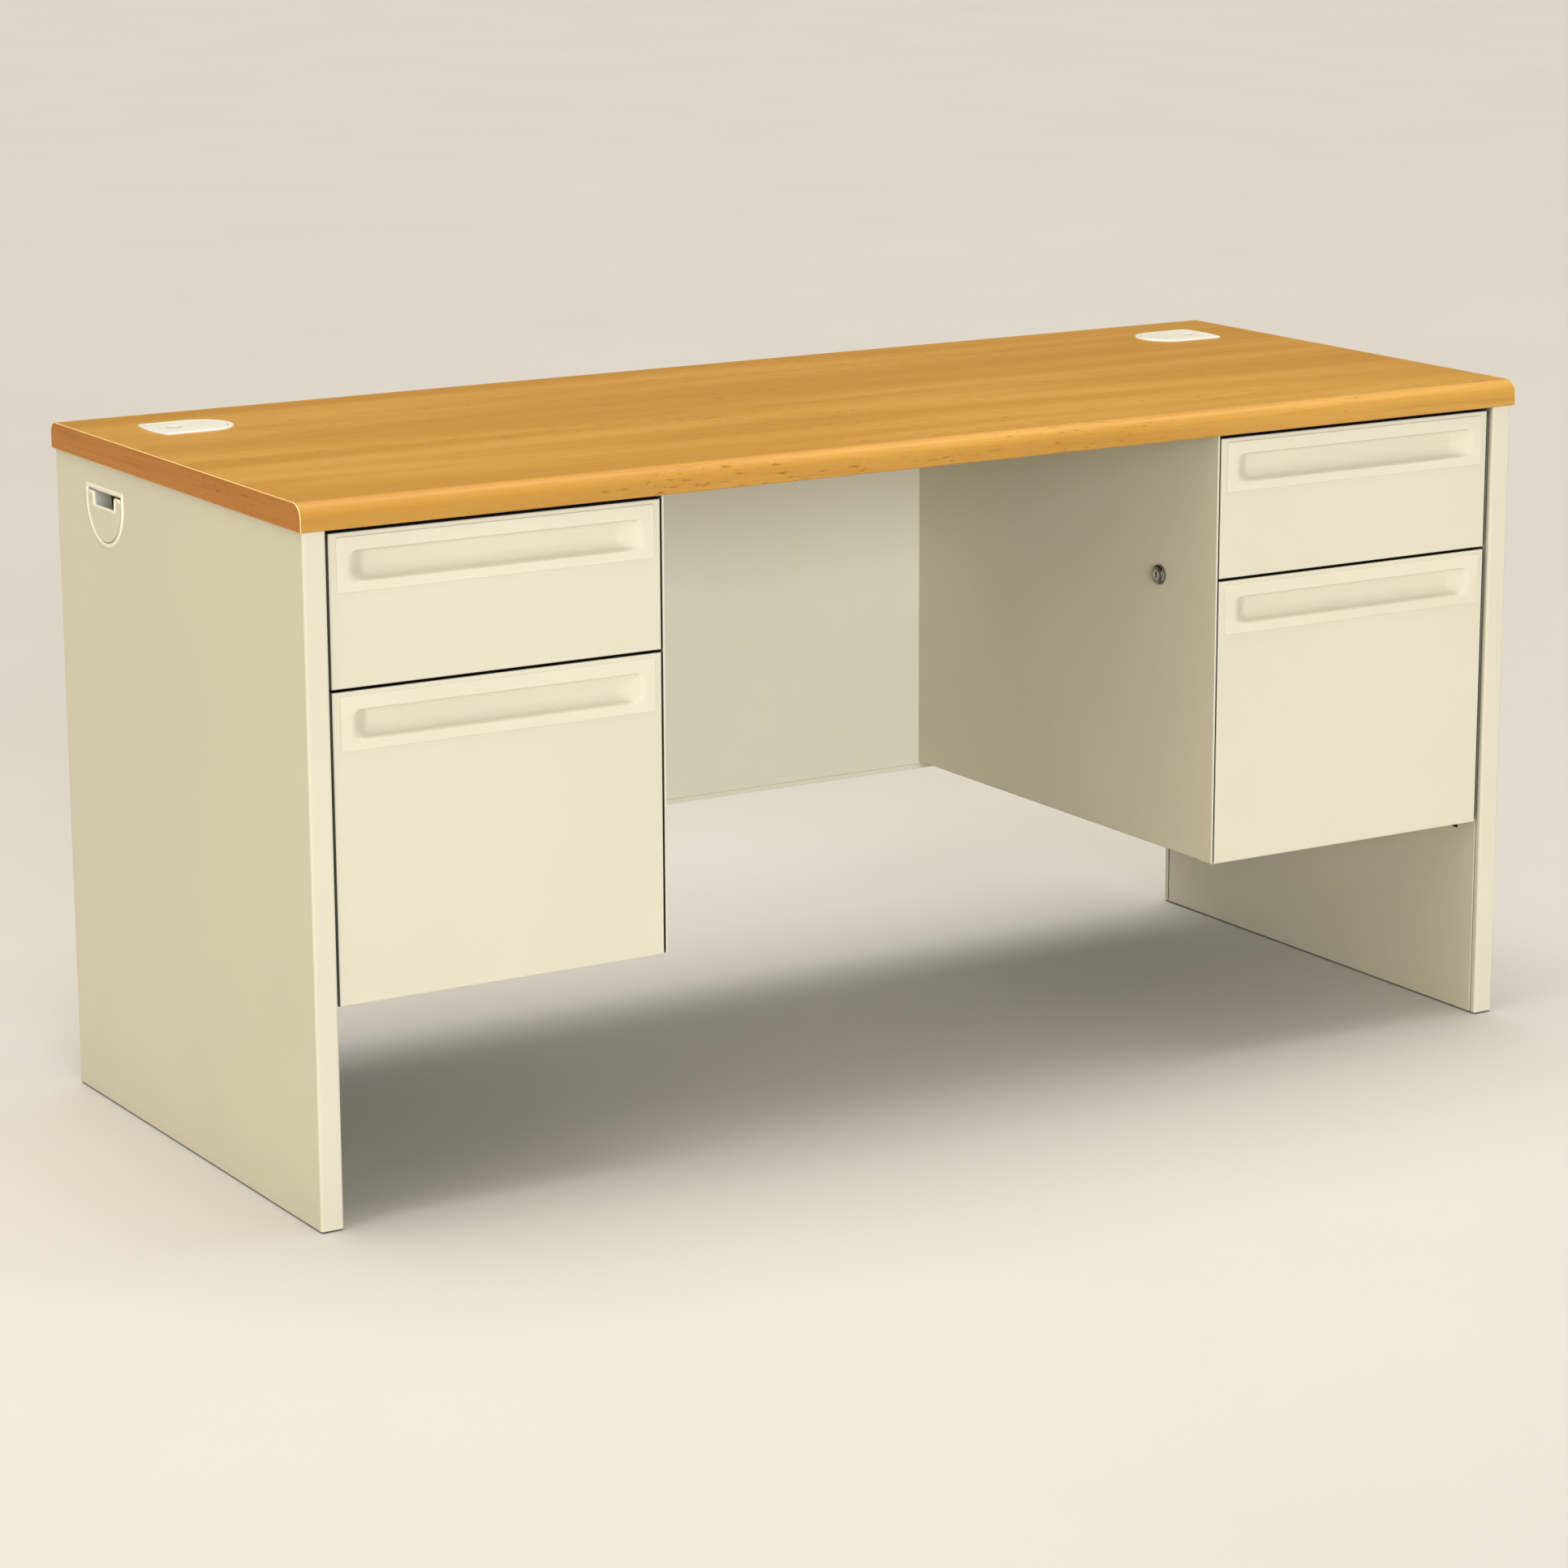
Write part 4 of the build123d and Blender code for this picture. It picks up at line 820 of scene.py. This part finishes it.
def tongue(inset):
    """Plan of a right-hand grommet as (x, y): half-round inboard, straight sides, bowed outboard end."""
    half = FLANGE_HALF - inset
    spring = TONGUE_INBOARD + FLANGE_HALF
    bow_radius = (FLANGE_HALF**2 + TONGUE_BOW**2) / (2 * TONGUE_BOW)
    bow_centre = TONGUE_OUTBOARD - bow_radius
    radius = bow_radius - inset
    ease = max(TONGUE_CORNER - inset, MM)
    reach = half - ease
    points = corner((spring, TONGUE_MIDDLE), half, 90, 270, TONGUE_ROUND_STEPS)

    def bow(offset):
        return bow_centre + math.sqrt(radius**2 - offset**2)

    def eased(start, control, end):
        """Quarter turn between two points, drawn towards the corner that they share."""
        turn = []
        for step in range(CORNER_STEPS + 1):
            share = step / CORNER_STEPS
            weights = ((1 - share) ** 2, 2 * share * (1 - share), share**2)
            turn.append(tuple(weighted_sum(weights, places) for places in zip(start, control, end)))
        return turn

    low_side, high_side = TONGUE_MIDDLE - half, TONGUE_MIDDLE + half
    low_bow, high_bow = TONGUE_MIDDLE - reach, TONGUE_MIDDLE + reach
    points += eased((bow(half) - ease, low_side), (bow(half), low_side), (bow(reach), low_bow))
    for step in range(1, BOW_STEPS):
        offset = -reach + 2 * reach * step / BOW_STEPS
        points.append((bow(offset), TONGUE_MIDDLE + offset))
    points += eased((bow(reach), high_bow), (bow(half), high_side), (bow(half) - ease, high_side))
    return points


def top_bezels():
    """A thin rounded flange round each worktop opening, with the sleeve and the cap's ledge below it."""
    face = FLANGE_HIGH[2]
    board = CAD_HIGH[2] - (FLANGE_HIGH[2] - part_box("worktop_laminate")[1][2])
    rim = board + RIM_LIFT
    seat = face - CAP_THICKNESS
    ledge = MOUTH_INSET + CAP_LEDGE
    sleeve = MOUTH_INSET - SLEEVE_WALL
    section = [(0.0, board - LAMINATE), (0.0, rim)]
    section += arc((RIM_ROUND, rim), (RIM_ROUND, face - rim), 180, 90, CORNER_STEPS)
    section += corner((MOUTH_INSET - MOUTH_EASE, face - MOUTH_EASE), MOUTH_EASE, 90, 0, MOUTH_EASE_STEPS)
    section += [(MOUTH_INSET, seat), (ledge, seat), (ledge, FLANGE_LOW[2])]
    section += [(sleeve, FLANGE_LOW[2]), (sleeve, board - LAMINATE)]
    shape = bmesh.new()
    for sign in SIDES.values():
        loops = []
        for inset, height in section:
            loops.append([(sign * x, y, height) for x, y in tongue(inset)])
        loft(shape, loops, ring=True)
    finished(shape, "top_grommet_flanges", "top_grommet_bezels")


def groove_outline(start, end):
    """Plan of a groove along the cap's middle, with round ends."""
    half = GROOVE_WIDTH / 2
    points = corner((start + half, TONGUE_MIDDLE), half, 90, 270, GROOVE_STEPS)
    return points + corner((end - half, TONGUE_MIDDLE), half, -90, 90, GROOVE_STEPS)


def top_cap(side):
    """Lift-off cap: eased rim, cable hole with a rounded lip, and two short grooves along its middle."""
    sign = SIDES[side]
    face = FLANGE_HIGH[2]
    bottom = TONGUE_LOW[2]
    hole = (TONGUE_OUTBOARD - CABLE_HOLE_FROM_END, TONGUE_MIDDLE)
    shape = bmesh.new()

    def placed(outline, height):
        return [(sign * x, y, height) for x, y in outline]

    def eased_down(size):
        """A wall's (size, height) points, from the face over its eased edge to the cap's underside."""
        wall = [(size + EDGE_EASE, face), (size + EDGE_EASE_MIDDLE, face - EDGE_EASE_MIDDLE)]
        return wall + [(size, face - EDGE_EASE), (size, bottom)]

    rims = [placed(tongue(inset), height) for inset, height in eased_down(CAP_INSET)]
    skirt = loft(shape, rims, cap_start=False, cap_end=False)
    turns = [placed(circle(hole, radius, HOLE_STEPS), height) for radius, height in eased_down(CABLE_HOLE)]
    bore = loft(shape, turns, cap_start=False, cap_end=False)
    groove_start = TONGUE_INBOARD + GROOVE_FROM_ROUND
    spans = [(groove_start, groove_start + GROOVE_LENGTH)]
    spans.append((hole[0] + CABLE_HOLE + GROOVE_FROM_HOLE, TONGUE_OUTBOARD - GROOVE_FROM_BOW))
    mouths = []
    for start, end in spans:
        outline = groove_outline(start, end)
        walls = [placed(outline, face), placed(outline, face - GROOVE_DEPTH)]
        mouths.append(loft(shape, walls, cap_start=False)[0])
    fill_between(shape, skirt[0], bore[0], *mouths)
    fill_between(shape, skirt[-1], bore[-1])
    finished(shape, f"{side}_top_cap_plate", f"{side}_top_grommet_cap")


# ------------------------------------------------------------------ locks
PLUG_RADIUS = 6.5 * MM
PLUG_STEM_RADIUS = 4.0 * MM
PLUG_PROUD = 0.4 * MM
BARREL_BODY_RADIUS = 9.5 * MM
KEYWAY_WIDTH = 2.4 * MM
KEYWAY_HEIGHT = 8.8 * MM
KEYWAY_DEPTH = 3.0 * MM
KEYWAY_STEPS = 6
PLUG_EASE = 0.5 * MM
PLUG_EASE_MIDDLE = 0.15 * MM
PLUG_GAP = 0.05 * MM
STEM_STEP = 0.3 * MM
BEZEL_FOOT = 0.9 * MM
BEZEL_EASE = 0.3 * MM
DOME = 3.4 * MM
DOME_STEPS = 10
RECESS_WIDTH = 0.8 * MM
RECESS_FLOOR = 0.45 * MM
RECESS_DEPTH = 0.5 * MM
BARREL_LOW, BARREL_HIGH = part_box("lock_barrels")
BEZEL_RADIUS = (BARREL_HIGH[1] - BARREL_LOW[1]) / 2
LOCK_PLACE = ((BARREL_LOW[1] + BARREL_HIGH[1]) / 2, (BARREL_LOW[2] + BARREL_HIGH[2]) / 2)
PED_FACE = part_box("right_ped_inner_side")[0][0]
LATHE_STEPS = 64


def turned(shape, sign, section, ring):
    """Turns a section of (x, radius) points about the lock's axis."""
    loops = []
    for x, radius in section:
        loops.append([(sign * x, y, z) for y, z in circle(LOCK_PLACE, radius, LATHE_STEPS)])
    return loft(shape, loops, ring=ring, cap_start=False)


def lock_barrels():
    """Domed bezels that stand off the sheet on a thin foot, each with a recessed ring round its plug."""
    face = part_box("right_lock_plug")[0][0] + PLUG_PROUD
    bore = PLUG_RADIUS + PLUG_GAP
    foot = PED_FACE - BEZEL_FOOT
    section = [(PED_FACE, BEZEL_RADIUS - BEZEL_EASE), (PED_FACE - BEZEL_EASE, BEZEL_RADIUS)]
    section += arc((foot, BEZEL_RADIUS - DOME), (foot - face, DOME), 90, 180, DOME_STEPS)
    recess = face + RECESS_DEPTH
    section += [(face, bore + RECESS_WIDTH), (recess, bore + RECESS_FLOOR), (recess, bore)]
    section += [(BARREL_HIGH[0], bore), (BARREL_HIGH[0], BARREL_BODY_RADIUS), (PED_FACE, BARREL_BODY_RADIUS)]
    shape = bmesh.new()
    for sign in SIDES.values():
        turned(shape, sign, section, ring=True)
    finished(shape, "lock_bezels", "lock_barrels")


def lock_plug(side):
    """Plug with an eased rim, a keyway in its face, and the cam's stem behind."""
    sign = SIDES[side]
    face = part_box("right_lock_plug")[0][0]
    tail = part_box("right_lock_plug")[1][0]
    shoulder = BARREL_HIGH[0] + STEM_STEP
    rim = [(face, PLUG_RADIUS - PLUG_EASE), (face + PLUG_EASE_MIDDLE, PLUG_RADIUS - PLUG_EASE_MIDDLE)]
    rim += [(face + PLUG_EASE, PLUG_RADIUS), (shoulder, PLUG_RADIUS)]
    rim += [(shoulder, PLUG_STEM_RADIUS), (tail, PLUG_STEM_RADIUS)]
    shape = bmesh.new()
    rings = turned(shape, sign, rim, ring=False)
    half = KEYWAY_WIDTH / 2
    reach = KEYWAY_HEIGHT / 2 - half
    y, z = LOCK_PLACE
    slot = corner((y, z + reach), half, 0, 180, KEYWAY_STEPS)
    slot += corner((y, z - reach), half, 180, 360, KEYWAY_STEPS)
    floor_x = face + KEYWAY_DEPTH
    walls = [[(sign * x, across, up) for across, up in slot] for x in (face, floor_x)]
    keyway = loft(shape, walls, cap_start=False)
    fill_between(shape, rings[0], keyway[0])
    finished(shape, f"{side}_lock_core", f"{side}_lock_plug")


# ------------------------------------------------------------------ worktop's edge bands
BAND_EASE = 0.75 * MM
BAND_EASE_STEPS = 3
FLAT_ANGLE = math.radians(0.5)
ARRIS_ANGLE = math.radians(45)
OUTER_FACE = CAD_HIGH[0] - 0.1 * MM


def side_bands():
    """Copies of the bands on the worktop's two ends, with their outer arrises scraped round."""
    shape = bmesh.new()
    shape.from_mesh(NODES["worktop_side_bands"].data)
    bmesh.ops.remove_doubles(shape, verts=shape.verts, dist=WELD_DISTANCE)
    bmesh.ops.dissolve_limit(
        shape, angle_limit=FLAT_ANGLE, verts=shape.verts, edges=shape.edges, delimit={"NORMAL"}
    )
    arrises = []
    for edge in shape.edges:
        if not edge.is_manifold or edge.calc_face_angle() < ARRIS_ANGLE or not edge.is_convex:
            continue
        if all(abs(vert.co.x) > OUTER_FACE for vert in edge.verts):
            arrises.append(edge)
    bmesh.ops.bevel(
        shape,
        geom=arrises,
        offset=BAND_EASE,
        segments=BAND_EASE_STEPS,
        profile=0.5,
        affect="EDGES",
        clamp_overlap=True,
    )
    finished(shape, "worktop_edge_bands", "worktop_side_bands")


# ------------------------------------------------------------------ the finer pieces, one after another
for side_name in SIDES:
    for drawer in ("box", "file"):
        pull(side_name, drawer)
    end_cover(side_name)
    top_cap(side_name)
    lock_plug(side_name)
end_bezel()
top_bezels()
lock_barrels()
side_bands()


# ------------------------------------------------------------------ floor, light and camera
FLOOR_HALF = 45.0
FLOOR_TONES = (0.59, 0.55, 0.48), (0.62, 0.58, 0.51)
HORIZON = 0.05
ZENITH = 0.80
DIM_BELOW, BRIGHT_ABOVE = 0.25, 0.90
SKY_TINT = (1.0, 0.965, 0.89, 1.0)
WHITE = (1.0, 1.0, 1.0)
COOL = (0.92, 0.99, 1.17)
WARM = (1.07, 1.0, 0.85)
DESK_FRONT = CAD_LOW[1]
DESK_MIDDLE = (0.0, 0.0, CAD_HIGH[2] / 2)
FRONT_LIGHT = Vector((-2.1, -7.8, 2.1))
FRONT_AIM = Vector((0.0, 0.0, 0.65))


def floor():
    """A wide pale studio floor, faintly mottled."""
    mesh = bpy.data.meshes.new("studio_floor")
    shape = bmesh.new()
    bmesh.ops.create_grid(shape, x_segments=8, y_segments=8, size=FLOOR_HALF)
    shape.to_mesh(mesh)
    shape.free()
    piece = bpy.data.objects.new("studio_floor", mesh)
    bpy.context.scene.collection.objects.link(piece)
    finish = Finish("studio_floor", roughness=0.7, specular=0.2)
    mottle = finish.noise((1.5, 1.5, 1.5), detail=3.0)
    finish.set("Base Color", finish.blend(mottle, *FLOOR_TONES))
    mesh.materials.append(finish.material)


def softbox(name, place, aim, width, height, watts, colour=WHITE):
    """A rectangular lamp that points at a place and is out of the camera's sight."""
    light = bpy.data.lights.new(name, "AREA")
    light.shape = "RECTANGLE"
    light.size = width
    light.size_y = height
    light.energy = watts
    light.color = colour
    lamp = bpy.data.objects.new(name, light)
    lamp.location = place
    lamp.rotation_euler = (Vector(aim) - Vector(place)).to_track_quat("-Z", "Y").to_euler()
    lamp.visible_camera = False
    bpy.context.scene.collection.objects.link(lamp)


def sky():
    """A soft warm-white dome, bright overhead and dim towards the horizon."""
    world = bpy.data.worlds.new("studio")
    world.use_nodes = True
    tree = world.node_tree
    direction = tree.nodes.new("ShaderNodeTexCoord")
    parts = tree.nodes.new("ShaderNodeSeparateXYZ")
    rise = tree.nodes.new("ShaderNodeMapRange")
    rise.interpolation_type = "SMOOTHSTEP"
    rise.inputs["From Min"].default_value = DIM_BELOW
    rise.inputs["From Max"].default_value = BRIGHT_ABOVE
    rise.inputs["To Min"].default_value = HORIZON
    rise.inputs["To Max"].default_value = ZENITH
    tree.links.new(direction.outputs["Generated"], parts.inputs["Vector"])
    tree.links.new(parts.outputs["Z"], rise.inputs["Value"])
    dome = tree.nodes["Background"]
    dome.inputs["Color"].default_value = SKY_TINT
    tree.links.new(rise.outputs["Result"], dome.inputs["Strength"])
    bpy.context.scene.world = world


def sun(name, place, strength, spread, colour=WHITE, glossy=True):
    """A broad, even light from one direction, which also reaches the far floor."""
    light = bpy.data.lights.new(name, "SUN")
    light.energy = strength
    light.angle = math.radians(spread)
    light.color = colour
    lamp = bpy.data.objects.new(name, light)
    lamp.visible_glossy = glossy
    lamp.rotation_euler = Vector(place).to_track_quat("Z", "Y").to_euler()
    bpy.context.scene.collection.objects.link(lamp)


def studio():
    """Soft light from the front left, with a glint of its own, and weaker light from the side and above."""
    sky()
    softbox("front", FRONT_LIGHT, FRONT_AIM, width=4.4, height=3.0, watts=60.0, colour=COOL)
    sun("key", FRONT_LIGHT - FRONT_AIM, strength=2.25, spread=26.0, colour=COOL, glossy=False)
    softbox("side", (-4.8, -1.6, 1.8), DESK_MIDDLE, width=2.2, height=2.0, watts=46.0, colour=WARM)
    above, below = (0.0, DESK_FRONT, 1.75), (0.0, DESK_FRONT, 0.0)
    softbox("overhead", above, below, width=2.6, height=0.35, watts=7.0)
    sun("daylight", (0.0, 0.15, 1.0), strength=1.85, spread=50.0)
    bpy.context.scene.view_settings.view_transform = "Standard"


AZIMUTH = math.radians(31.29)
PITCH = math.radians(13.38)
ROLL = math.radians(-0.22)
LENS = 106.0
SENSOR = 36.0
CAMERA_DISTANCE = 5.208
AIM = Vector((-0.0244, 0.0, 0.3117))


def camera():
    """The main view: from the front left, a little above, with a long lens."""
    forward = Vector(
        (math.sin(AZIMUTH) * math.cos(PITCH), math.cos(AZIMUTH) * math.cos(PITCH), -math.sin(PITCH))
    )
    level = Vector((math.cos(AZIMUTH), -math.sin(AZIMUTH), 0.0))
    upright = level.cross(forward)
    right = level * math.cos(ROLL) + upright * math.sin(ROLL)
    up = upright * math.cos(ROLL) - level * math.sin(ROLL)
    data = bpy.data.cameras.new("camera")
    data.lens = LENS
    data.sensor_width = SENSOR
    eye = bpy.data.objects.new("camera", data)
    turn = Matrix((right, up, -forward)).transposed().to_4x4()
    eye.matrix_world = Matrix.Translation(AIM - forward * CAMERA_DISTANCE) @ turn
    bpy.context.scene.collection.objects.link(eye)
    bpy.context.scene.camera = eye


floor()
studio()
camera()

bpy.context.view_layer.update()
